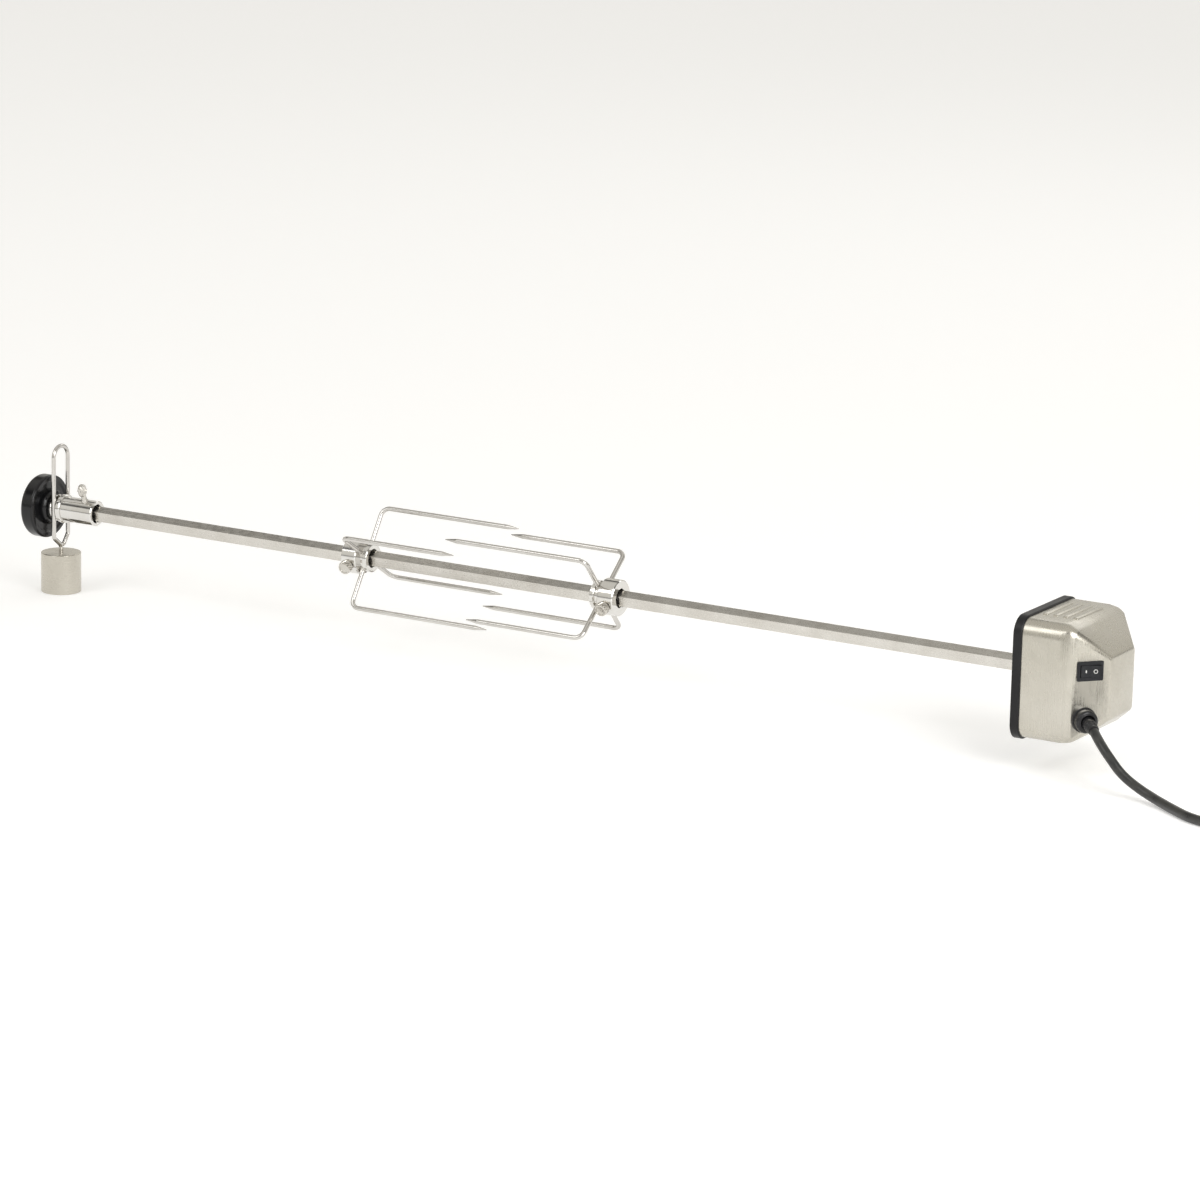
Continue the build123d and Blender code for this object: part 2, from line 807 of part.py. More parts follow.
def fork_collar(x, way):
    """A fork's collar, its tines pointing along X with the sign of way."""
    body_end = x - way * (half_neck + fork_body_length)
    body_face = x - way * half_neck
    flange_face = x + way * half_neck
    flange_end = x + way * (half_neck + fork_flange)
    edge = way * 0.8
    outline = [
        (body_end, rod_bore + 0.5),
        (body_end, fork_body_radius - 0.8),
        (body_end + edge, fork_body_radius),
        (body_face - edge, fork_body_radius),
        (body_face, fork_body_radius - 0.8),
        (body_face, fork_neck_radius),
        (flange_face, fork_neck_radius),
        (flange_face, fork_flange_radius - 0.5),
        (flange_face + way * 0.5, fork_flange_radius),
        (flange_end - way * 0.5, fork_flange_radius),
        (flange_end, fork_flange_radius - 0.5),
        (flange_end, rod_bore + 0.5),
        (flange_end - way * 0.5, rod_bore),
        (body_end + way * 0.5, rod_bore),
    ]
    with BuildPart() as collar:
        add(turned(outline))
        with BuildSketch(spoke(x - way * fork_screw_offset, fork_screw_angle)):
            Circle(fork_screw_radius + running)
        extrude(amount=2 * fork_body_radius, mode=Mode.SUBTRACT)
    return collar


def tine_pair(x, way, angle, reach):
    """Two opposite bent tines, each welded to the collar's neck and pointed at its tip."""
    taper_angle = degrees(atan((fork_wire / 2 - tine_tip_radius) / tine_point))
    foot = sqrt(fork_neck_radius**2 - (fork_wire / 2) ** 2)
    with BuildPart() as pair:
        for turn in (angle, angle + 180):
            leg = spoke(x, turn)
            tine_plane = Plane(origin=leg.origin, x_dir=leg.x_dir, z_dir=leg.x_dir.cross(leg.z_dir))
            with BuildLine(tine_plane) as bent:
                FilletPolyline(
                    (0, foot),
                    (0, fork_radius),
                    (way * (reach - tine_point), fork_radius),
                    radius=tine_bend,
                )
            with BuildSketch(leg.offset(foot)):
                Circle(fork_wire / 2)
            sweep(path=bent.wires()[0])
            tip_origin = leg.origin + leg.x_dir * way * (reach - tine_point)
            tip_origin += leg.z_dir * fork_radius
            with BuildSketch(Plane(origin=tip_origin, x_dir=leg.z_dir, z_dir=leg.x_dir * way)):
                Circle(fork_wire / 2)
            extrude(amount=tine_point, taper=taper_angle)
    return pair


for side, x, way, angle, long_turn in (
    ("left", left_fork_x, 1, left_tine_angle, 0),
    ("right", right_fork_x, -1, right_tine_angle, 90),
):
    write(fork_collar(x, way), f"{side}_fork_collar")
    write(tine_pair(x, way, angle + long_turn, long_tine), f"{side}_fork_long_tines")
    write(tine_pair(x, way, angle + 90 - long_turn, short_tine), f"{side}_fork_short_tines")
    screw_x = x - way * fork_screw_offset
    fork_screw = knurled_screw(screw_x, fork_screw_angle, fork_screw_radius, fork_body_radius)
    write(fork_screw, f"{side}_fork_thumbscrew")

# ---------------------------------------------------------------- switch

with BuildPart() as switch_body:
    with BuildSketch(facet_plane(switch_along, switch_z)):
        RectangleRounded(switch_width, switch_height, 1.2)
    extrude(amount=switch_flange)
    chamfer(switch_body.faces().sort_by(facet_axis)[-1].edges(), length=0.5)
    with BuildSketch(facet_plane(switch_along, switch_z)):
        Rectangle(switch_body_width, switch_body_height)
    extrude(amount=-switch_depth)
    with BuildSketch(facet_plane(switch_along, switch_z, switch_flange)):
        Rectangle(switch_pocket_width, switch_pocket_height)
    extrude(amount=-(switch_flange + switch_depth / 2), mode=Mode.SUBTRACT)
    with BuildSketch(Plane(origin=facet_plane(switch_along, switch_z).origin, z_dir=(0, 0, 1))):
        Circle(rocker_pin_radius + running)
    extrude(amount=rocker_height / 2 + 1.2, both=True, mode=Mode.SUBTRACT)
write(switch_body, "switch_body")

rocker_half = rocker_width / 2
rocker_plane = Plane(
    origin=facet_plane(switch_along, switch_z).origin, x_dir=facet_along, z_dir=(0, 0, -1)
)
with BuildPart() as rocker:
    with BuildSketch(rocker_plane.rotated((0, 0, -rocker_tilt))):
        with BuildLine():
            Polyline(
                (rocker_half, rocker_rise),
                (rocker_half, -2.0),
                (0, -4.5),
                (-rocker_half, -2.0),
                (-rocker_half, rocker_rise),
            )
            ThreePointArc((-rocker_half, rocker_rise), (0, 1.8), (rocker_half, rocker_rise))
        make_face()
    extrude(amount=rocker_height / 2, both=True)
    with BuildSketch(rocker_plane):
        Circle(rocker_pin_radius)
    extrude(amount=rocker_height / 2 + 1.0, both=True)
write(rocker, "switch_rocker")

with BuildPart() as switch_terminals:
    with BuildSketch(facet_plane(switch_along, switch_z, -switch_depth)):
        with GridLocations(7.0, 1.0, 2, 1):
            Rectangle(0.8, 4.8)
    extrude(amount=-8.0)
write(switch_terminals, "switch_terminals")

# ---------------------------------------------------------------- cable gland and strain relief

with BuildPart() as cable_gland:
    with BuildSketch(facet_plane(gland_along, gland_z)):
        Circle(gland_radius)
    extrude(amount=gland_flange)
    chamfer(cable_gland.faces().sort_by(facet_axis)[-1].edges(), length=0.8)
    with BuildSketch(facet_plane(gland_along, gland_z)):
        Circle(gland_thread_radius)
    extrude(amount=-9.0)
    with BuildSketch(facet_plane(gland_along, gland_z, gland_flange)):
        Circle(relief_radius)
    extrude(amount=-20.0, mode=Mode.SUBTRACT)
write(cable_gland, "cable_gland")

with BuildPart() as gland_cap_piece:
    with BuildSketch(facet_plane(gland_along, gland_z, gland_flange)):
        Circle(gland_cap_radius)
    extrude(amount=gland_cap)
    fillet(gland_cap_piece.faces().sort_by(facet_axis)[-1].edges(), radius=2.4)
    with BuildSketch(facet_plane(gland_along, gland_z, gland_flange)):
        Circle(relief_radius)
    extrude(amount=gland_cap, mode=Mode.SUBTRACT)
write(gland_cap_piece, "gland_cap")

with BuildPart() as lock_nut:
    with BuildSketch(facet_plane(gland_along, gland_z, -shell_wall)):
        RegularPolygon(gland_radius, 6)
        Circle(gland_thread_radius, mode=Mode.SUBTRACT)
    extrude(amount=-4.0)
write(lock_nut, "gland_lock_nut")

gland_centre = facet_plane(gland_along, gland_z).origin
relief_bend = gland_centre + facet_normal * 15.0
exit_slope = radians(26.0)
exit_direction = facet_normal * cos(exit_slope) + Vector(0, 0, -sin(exit_slope))
cord_exit = relief_bend + exit_direction * 8.0

with BuildPart() as strain_relief:
    with BuildLine() as relief_line:
        FilletPolyline(gland_centre - facet_normal * 8.0, relief_bend, cord_exit, radius=12.0)
    with BuildSketch(facet_plane(gland_along, gland_z, -8.0)):
        Circle(relief_radius)
    sweep(path=relief_line.wires()[0])
write(strain_relief, "strain_relief")

# ---------------------------------------------------------------- mains cord, coil and plug

cord_floor = floor_z + cord_radius
cord_points = [
    cord_exit,
    cord_exit + exit_direction * 13.0,
    cord_exit + Vector(21.1, -13.1, -16.0),
    cord_exit + Vector(31.6, -14.6, -26.0),
    cord_exit + Vector(45.1, -13.6, -34.5),
    cord_exit + Vector(62.1, -18.1, -39.5),
    Vector(153.0, -82.0, cord_floor),
    Vector(175.0, -97.5, cord_floor),
    Vector(199.0, -102.5, cord_floor),
    Vector(222.0, -97.0, cord_floor),
    Vector(240.0, -92.8, cord_floor),
]


def tube_radii(points):
    """The radius of each corner of a tube's path: as large as its two runs allow."""
    radii = []
    for before, corner, after in zip(points, points[1:], points[2:]):
        run_in, run_out = corner - before, after - corner
        turn = radians(run_in.get_angle(run_out))
        radii.append(0.45 * min(run_in.length, run_out.length) / tan(turn / 2))
    return radii


radii = tube_radii(cord_points)
print("cord radii", [round(r) for r in radii])
with BuildPart() as power_cord:
    with BuildLine() as cord_line:
        FilletPolyline(*cord_points, radius=radii)
    with BuildSketch(Plane(origin=cord_points[0], z_dir=cord_points[1] - cord_points[0])):
        Circle(cord_radius)
    sweep(path=cord_line.wires()[0])
write(power_cord, "power_cord")
cord_length = cord_line.wires()[0].length
volume_ratio = power_cord.part.volume / (cord_length * pi * cord_radius**2)
print("cord length", round(cord_length), "volume ratio", round(volume_ratio, 3))
print("cord points", [tuple(round(v, 1) for v in p) for p in cord_points])

with BuildPart() as cord_coil:
    with BuildSketch(Plane((coil_centre[0], coil_centre[1], floor_z))):
        Circle(coil_radius)
        Circle(coil_inner_radius, mode=Mode.SUBTRACT)
    extrude(amount=2 * cord_radius * coil_layers + free_gap)
write(cord_coil, "cord_coil")

plug_z = floor_z + plug_height / 2


def across_plug(along):
    """A plane across the plug at this distance from its tail towards the blades."""
    return Plane(
        origin=(plug_place[0], plug_place[1] - along, plug_z), x_dir=(1, 0, 0), z_dir=(0, -1, 0)
    )


plug_face = across_plug(plug_tail + plug_length)
with BuildPart() as plug_body:
    with BuildSketch(across_plug(0)):
        Circle(relief_radius)
    with BuildSketch(across_plug(plug_tail)):
        RectangleRounded(plug_width - 4.0, plug_height - 3.0, plug_corner)
    loft()
    with BuildSketch(across_plug(plug_tail)):
        RectangleRounded(plug_width, plug_height, plug_corner)
    extrude(amount=plug_length)
    chamfer(plug_body.faces().sort_by(Axis.Y)[0].edges(), length=1.0)
write(plug_body, "plug_body")

with BuildPart() as plug_pins:
    with BuildSketch(plug_face):
        with Locations((-blade_pitch / 2, 2.5), (blade_pitch / 2, 2.5)):
            Rectangle(1.5, 6.3)
    extrude(amount=blade_length)
    with BuildSketch(plug_face):
        with Locations((0, -5.5)):
            Circle(earth_pin_radius)
    extrude(amount=blade_length + 2.0)
write(plug_pins, "plug_pins")
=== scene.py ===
"""Looks of a grill rotisserie spit kit: motor housing, spit rod, meat forks, handle end and cord.

Metres, +X along the rod towards the motor's nose, +Z up, -Y towards the switch.
"""

import logging
import math
from collections.abc import Callable
from dataclasses import dataclass, field
from enum import Enum

import bmesh
import bpy
from mathutils import Matrix, Vector


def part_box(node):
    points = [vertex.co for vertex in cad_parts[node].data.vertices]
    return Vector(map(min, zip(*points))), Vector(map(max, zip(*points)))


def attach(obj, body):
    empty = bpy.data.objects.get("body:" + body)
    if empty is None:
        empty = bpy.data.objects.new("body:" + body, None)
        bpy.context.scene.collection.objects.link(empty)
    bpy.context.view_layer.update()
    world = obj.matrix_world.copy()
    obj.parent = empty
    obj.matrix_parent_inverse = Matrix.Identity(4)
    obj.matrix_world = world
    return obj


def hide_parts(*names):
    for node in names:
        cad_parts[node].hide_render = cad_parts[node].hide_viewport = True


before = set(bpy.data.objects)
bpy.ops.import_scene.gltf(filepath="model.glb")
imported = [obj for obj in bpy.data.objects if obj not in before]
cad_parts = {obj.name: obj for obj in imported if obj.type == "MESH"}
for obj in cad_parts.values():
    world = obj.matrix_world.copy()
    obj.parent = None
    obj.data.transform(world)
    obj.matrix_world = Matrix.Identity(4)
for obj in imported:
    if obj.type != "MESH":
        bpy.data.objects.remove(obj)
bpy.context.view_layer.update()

FLOOR_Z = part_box("counterweight")[0].z
TINY = 1e-5
OUT = Vector((1, 0, 0))
UP = Vector((0, 0, 1))
Piece = bpy.types.Object
Socket = bpy.types.NodeSocket
Colour = tuple[float, float, float]
Pitch = tuple[float, float, float]
Station = tuple[Vector, Vector, float]
Test = Callable[[Vector, Vector], bool]
CORD_EXIT = (0.071914, -0.051884, -0.029507)
FACET_WAY = Vector((0.7399, -0.6727, 0)).normalized()
log = logging.getLogger("spit_kit")


def at(x: float, y: float, z: float) -> Vector:
    """A dataclass field that starts at a point."""
    return field(default_factory=lambda: Vector((x, y, z)))


class Grain(Enum):
    """Which way the fine marks of a finish run, as the pattern's pitch per metre along X, Y, Z."""

    ALONG_X = (9.0, 1900.0, 1900.0)
    ALONG_Y = (1900.0, 9.0, 1900.0)
    ALONG_Z = (1900.0, 1900.0, 9.0)
    TURNED_X = (2400.0, 40.0, 40.0)
    TURNED_Z = (40.0, 40.0, 2400.0)
    CAST = (700.0, 700.0, 700.0)


# ------------------------------------------------------------------ finishes


class NodeBoard:
    """A material's node tree, laid out by short calls."""

    def __init__(self, label: str) -> None:
        """Start an empty material with its shader and its coordinates."""
        self.material = bpy.data.materials.new(label)
        self.material.use_nodes = True
        self.tree = self.material.node_tree
        self.tree.nodes.clear()
        self.output = self.tree.nodes.new("ShaderNodeOutputMaterial")
        self.shader = self.tree.nodes.new("ShaderNodeBsdfPrincipled")
        self.tree.links.new(self.shader.outputs[0], self.output.inputs["Surface"])
        self.place = self.tree.nodes.new("ShaderNodeTexCoord").outputs["Object"]

    def set(self, **values: object) -> None:
        """Set or link the shader's sockets; an underscore in a name stands for a space."""
        for name, value in values.items():
            self.feed(self.shader.inputs[name.replace("_", " ")], value)

    def feed(self, socket: Socket, value: object) -> None:
        """Link a socket to another, or give it a plain value."""
        if isinstance(value, Socket):
            self.tree.links.new(value, socket)
        else:
            socket.default_value = value

    def node(self, kind: str, out: str | int = 0, **inputs: object) -> Socket:
        """Add a node.

        Args:
            kind: the node type's name after "ShaderNode".
            out: the output wanted.
            inputs: values or sockets by input name, spaces as underscores.

        Returns:
            The chosen output socket.
        """
        made = self.tree.nodes.new("ShaderNode" + kind)
        for name, value in inputs.items():
            self.feed(made.inputs[name.replace("_", " ")], value)
        return made.outputs[out]

    def noise(self, pitch: Pitch | float, detail: float = 3.0) -> Socket:
        """Noise over the piece's own coordinates, at this pitch per metre."""
        scale = (pitch,) * 3 if isinstance(pitch, float) else pitch
        where = self.node("Mapping", Vector=self.place, Scale=scale)
        return self.node("TexNoise", "Fac", Vector=where, Scale=1.0, Detail=detail)

    def span(
        self, value: Socket, low: float, high: float, start: float = 0.3, end: float = 0.7
    ) -> Socket:
        """Stretch a value between start and end to the range from low to high."""
        named = {"From_Min": start, "From_Max": end, "To_Min": low, "To_Max": high}
        return self.node("MapRange", Value=value, **named)

    def blend(self, share: object, first: object, second: object, mode: str = "MIX") -> Socket:
        """Mix two colours by a share from 0 to 1."""
        made = self.tree.nodes.new("ShaderNodeMix")
        made.data_type = "RGBA"
        made.blend_type = mode
        for index, value in ((0, share), (6, first), (7, second)):
            self.feed(made.inputs[index], value)
        return made.outputs[2]

    def relief(self, height: Socket, strength: float, depth: float) -> None:
        """Raise the surface by a height map of this depth in metres."""
        normal = self.node("Bump", Strength=strength, Distance=depth, Height=height)
        self.set(Normal=normal)

    def steepness(self, axis: int) -> Socket:
        """How far a face looks along one axis, from 0 to 1, either way."""
        normal = self.tree.nodes.new("ShaderNodeTexCoord").outputs["Normal"]
        parts = self.tree.nodes.new("ShaderNodeSeparateXYZ")
        self.tree.links.new(normal, parts.inputs[0])
        size = self.tree.nodes.new("ShaderNodeMath")
        size.operation = "ABSOLUTE"
        self.tree.links.new(parts.outputs[axis], size.inputs[0])
        return size.outputs[0]


@dataclass(frozen=True)
class Metal:
    """A bare or plated metal with drawn, turned or cast marks and patches of tone."""

    label: str
    colour: Colour
    tone: Colour
    roughness: float
    grain: Grain
    top_grain: Grain | None = None
    mark_depth: float = 0.8e-5
    mark_contrast: float = 0.05
    patch_pitch: float = 38.0

    def material(self) -> bpy.types.Material:
        """Build the node material.

        Returns:
            The finished material.
        """
        board = NodeBoard(self.label)
        marks = board.noise(self.grain.value, 5.0)
        if self.top_grain:
            upper = board.noise(self.top_grain.value, 5.0)
            facing = board.span(board.steepness(2), 0.0, 1.0, 0.7, 0.9)
            marks = board.blend(facing, marks, upper)
        patches = board.noise(self.patch_pitch, 4.0)
        smudges = board.noise(self.patch_pitch * 4.5, 6.0)
        base = board.blend(board.span(patches, 0.0, 1.0), (*self.colour, 1), (*self.tone, 1))
        shade = board.span(marks, 1.0 - self.mark_contrast, 1.0)
        grey = board.node("CombineColor", Red=shade, Green=shade, Blue=shade)
        board.set(Base_Color=board.blend(1.0, base, grey, "MULTIPLY"))
        dull = board.span(smudges, self.roughness * 0.85, self.roughness * 1.25)
        streak = board.span(marks, -0.04, 0.05)
        total = board.tree.nodes.new("ShaderNodeMath")
        total.operation = "ADD"
        total.use_clamp = True
        board.feed(total.inputs[0], dull)
        board.feed(total.inputs[1], streak)
        board.set(Roughness=total.outputs[0], Metallic=1.0)
        board.relief(marks, 0.35, self.mark_depth)
        return board.material


@dataclass(frozen=True)
class Moulded:
    """A moulded or painted surface with a fine texture, dust and paler worn places."""

    label: str
    colour: Colour
    worn: Colour
    roughness: float
    texture_pitch: float = 1800.0
    texture_depth: float = 4.0e-5
    coat: float = 0.0
    shine: float = 0.3

    def material(self) -> bpy.types.Material:
        """Build the node material.

        Returns:
            The finished material.
        """
        board = NodeBoard(self.label)
        pebbles = board.noise(self.texture_pitch, 3.0)
        drift = board.noise(55.0, 5.0)
        dust = board.noise(420.0, 6.0)
        base = board.blend(board.span(drift, 0.0, 0.65), (*self.colour, 1), (*self.worn, 1))
        speck = board.span(dust, 0.0, 0.35, 0.62, 0.8)
        board.set(Base_Color=board.blend(speck, base, (*[3 * c for c in self.worn], 1)))
        dullest = min(1.0, self.roughness * 1.2)
        board.set(Roughness=board.span(drift, self.roughness * 0.85, dullest))
        board.set(Coat_Weight=self.coat, Coat_Roughness=0.12, Specular_IOR_Level=self.shine)
        board.relief(pebbles, 0.3, self.texture_depth)
        return board.material


@dataclass(frozen=True)
class Jacket:
    """A cord's extruded jacket: faint ripples, scuffs and a soft shine."""

    label: str
    colour: Colour
    worn: Colour
    roughness: float

    def material(self) -> bpy.types.Material:
        """Build the node material.

        Returns:
            The finished material.
        """
        board = NodeBoard(self.label)
        scuffs = board.noise(160.0, 6.0)
        ripples = board.noise(520.0, 2.0)
        worn = board.span(scuffs, 0.0, 0.8, 0.4, 0.75)
        base = board.blend(worn, (*self.colour, 1), (*self.worn, 1))
        board.set(Base_Color=base, Coat_Weight=0.15, Coat_Roughness=0.25)
        board.set(Roughness=board.span(scuffs, self.roughness * 0.8, self.roughness * 1.2))
        board.relief(ripples, 0.35, 6.0e-5)
        return board.material


FINISHES: dict[str, Metal | Moulded | Jacket] = {
    "shell_steel": Metal(
        "brushed_housing_steel", (0.60, 0.575, 0.515), (0.53, 0.505, 0.44), 0.26,
        Grain.ALONG_Z, Grain.ALONG_Y, 0.6e-5, 0.08, 22.0,
    ),
    "rod_steel": Metal(
        "drawn_rod_steel", (0.70, 0.68, 0.64), (0.60, 0.575, 0.53), 0.26, Grain.ALONG_X
    ),
    "tine_steel": Metal(
        "polished_wire_steel", (0.69, 0.675, 0.65), (0.58, 0.56, 0.53), 0.15, Grain.ALONG_X
    ),
    "collar_chrome": Metal(
        "chromed_collar", (0.76, 0.75, 0.73), (0.69, 0.67, 0.63), 0.1,
        Grain.TURNED_X, None, 0.6e-5, 0.04,
    ),
    "screw_steel": Metal(
        "plated_screw_steel", (0.68, 0.66, 0.62), (0.56, 0.53, 0.48), 0.22, Grain.CAST
    ),
    "weight_nickel": Metal(
        "satin_nickel", (0.62, 0.59, 0.52), (0.55, 0.52, 0.455), 0.24,
        Grain.TURNED_Z, None, 0.4e-5, 0.04,
    ),
    "zinc_steel": Metal("zinc_plate", (0.58, 0.59, 0.57), (0.46, 0.47, 0.44), 0.36, Grain.CAST),
    "gear_brass": Metal("cut_brass", (0.66, 0.49, 0.20), (0.53, 0.38, 0.15), 0.3, Grain.TURNED_X),
    "gear_steel": Metal(
        "hobbed_steel", (0.50, 0.50, 0.50), (0.38, 0.37, 0.36), 0.34, Grain.TURNED_X
    ),
    "bronze": Metal("sintered_bronze", (0.47, 0.31, 0.16), (0.36, 0.23, 0.12), 0.42, Grain.CAST),
    "coil_copper": Metal(
        "wound_copper", (0.62, 0.29, 0.14), (0.42, 0.17, 0.07), 0.35, Grain.TURNED_X
    ),
    "pin_brass": Metal(
        "nickelled_brass_pin", (0.68, 0.60, 0.44), (0.58, 0.49, 0.33), 0.25, Grain.ALONG_Y
    ),
    "rotor_black": Moulded("ferrite_black", (0.035, 0.035, 0.037), (0.07, 0.07, 0.072), 0.55),
    "base_black": Moulded(
        "black_base_moulding", (0.007, 0.007, 0.008), (0.014, 0.014, 0.016), 0.4
    ),
    "knob_black": Moulded(
        "glossy_phenolic_knob", (0.005, 0.005, 0.006), (0.009, 0.009, 0.010), 0.16,
        900.0, 1.0e-5, 0.25,
    ),
    "switch_black": Moulded("switch_nylon", (0.011, 0.012, 0.014), (0.022, 0.023, 0.027), 0.36),
    "gland_black": Moulded(
        "gland_nylon", (0.009, 0.009, 0.010), (0.02, 0.02, 0.022), 0.24, 1200.0, 2.5e-5, 0.2
    ),
    "cord_black": Jacket("cord_jacket", (0.014, 0.014, 0.014), (0.042, 0.041, 0.036), 0.34),
    "mark_white": Moulded("printed_mark_white", (0.75, 0.75, 0.73), (0.62, 0.62, 0.6), 0.5),
    "floor_paper": Moulded(
        "floor_paper", (0.86, 0.86, 0.86), (0.84, 0.84, 0.84), 0.9, 90.0, 1.0e-5
    ),
}
NODE_SLOTS = {
    "shell_steel": ("motor_shell",),
    "base_black": ("base_plate",),
    "rod_steel": ("spit_rod",),
    "tine_steel": (
        "left_fork_long_tines", "left_fork_short_tines", "right_fork_long_tines",
        "right_fork_short_tines", "weight_loop",
    ),
    "collar_chrome": ("handle_collar", "clamp_ring", "left_fork_collar", "right_fork_collar"),
    "screw_steel": (
        "collar_thumbscrew", "left_fork_thumbscrew", "right_fork_thumbscrew", "base_screws",
        "rear_plate_screws",
    ),
    "knob_black": ("handle_knob", "knob_cap"),
    "weight_nickel": ("counterweight",),
    "zinc_steel": ("front_gear_plate", "rear_gear_plate", "gearbox_spacers", "motor_can"),
    "gear_brass": ("output_gear", "second_gear", "third_gear"),
    "gear_steel": ("drive_spindle", "gear_shafts"),
    "bronze": ("front_bushing", "rear_bushing"),
    "rotor_black": ("rotor",),
    "coil_copper": ("motor_coil",),
    "switch_black": ("switch_body", "switch_rocker"),
    "gland_black": ("cable_gland", "gland_cap", "gland_lock_nut", "strain_relief"),
    "cord_black": ("power_cord", "cord_coil", "plug_body"),
    "pin_brass": ("plug_pins", "switch_terminals"),
}


class PaintShop:
    """Makes each finish once and puts it on pieces and nodes."""

    def __init__(self) -> None:
        """Start with no finish made."""
        self.made: dict[str, bpy.types.Material] = {}

    def finish(self, slot: str) -> bpy.types.Material:
        """The material of one slot, made at its first use."""
        if slot not in self.made:
            self.made[slot] = FINISHES[slot].material()
        return self.made[slot]

    def coat(self, piece: Piece, slot: str) -> None:
        """Give a whole piece one finish, chosen by its slot."""
        piece.data.materials.clear()
        piece.data.materials.append(self.finish(slot))

    def dress(self, piece: Piece, slot: str, body: str, *nodes: str) -> Piece:
        """Coat a piece, tie it to its body and hide the nodes that it stands for.

        Args:
            piece: the piece.
            slot: its finish.
            body: the body that it rides on.
            nodes: the nodes that it replaces.

        Returns:
            The piece.
        """
        self.coat(piece, slot)
        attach(piece, body)
        if nodes:
            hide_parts(*nodes)
        return piece

    def coat_nodes(self) -> None:
        """Give every node of the frame its finish."""
        for slot, names in NODE_SLOTS.items():
            for name in names:
                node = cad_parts[name]
                for held in node.material_slots:
                    held.material = self.finish(slot)


# ------------------------------------------------------------------ workbench


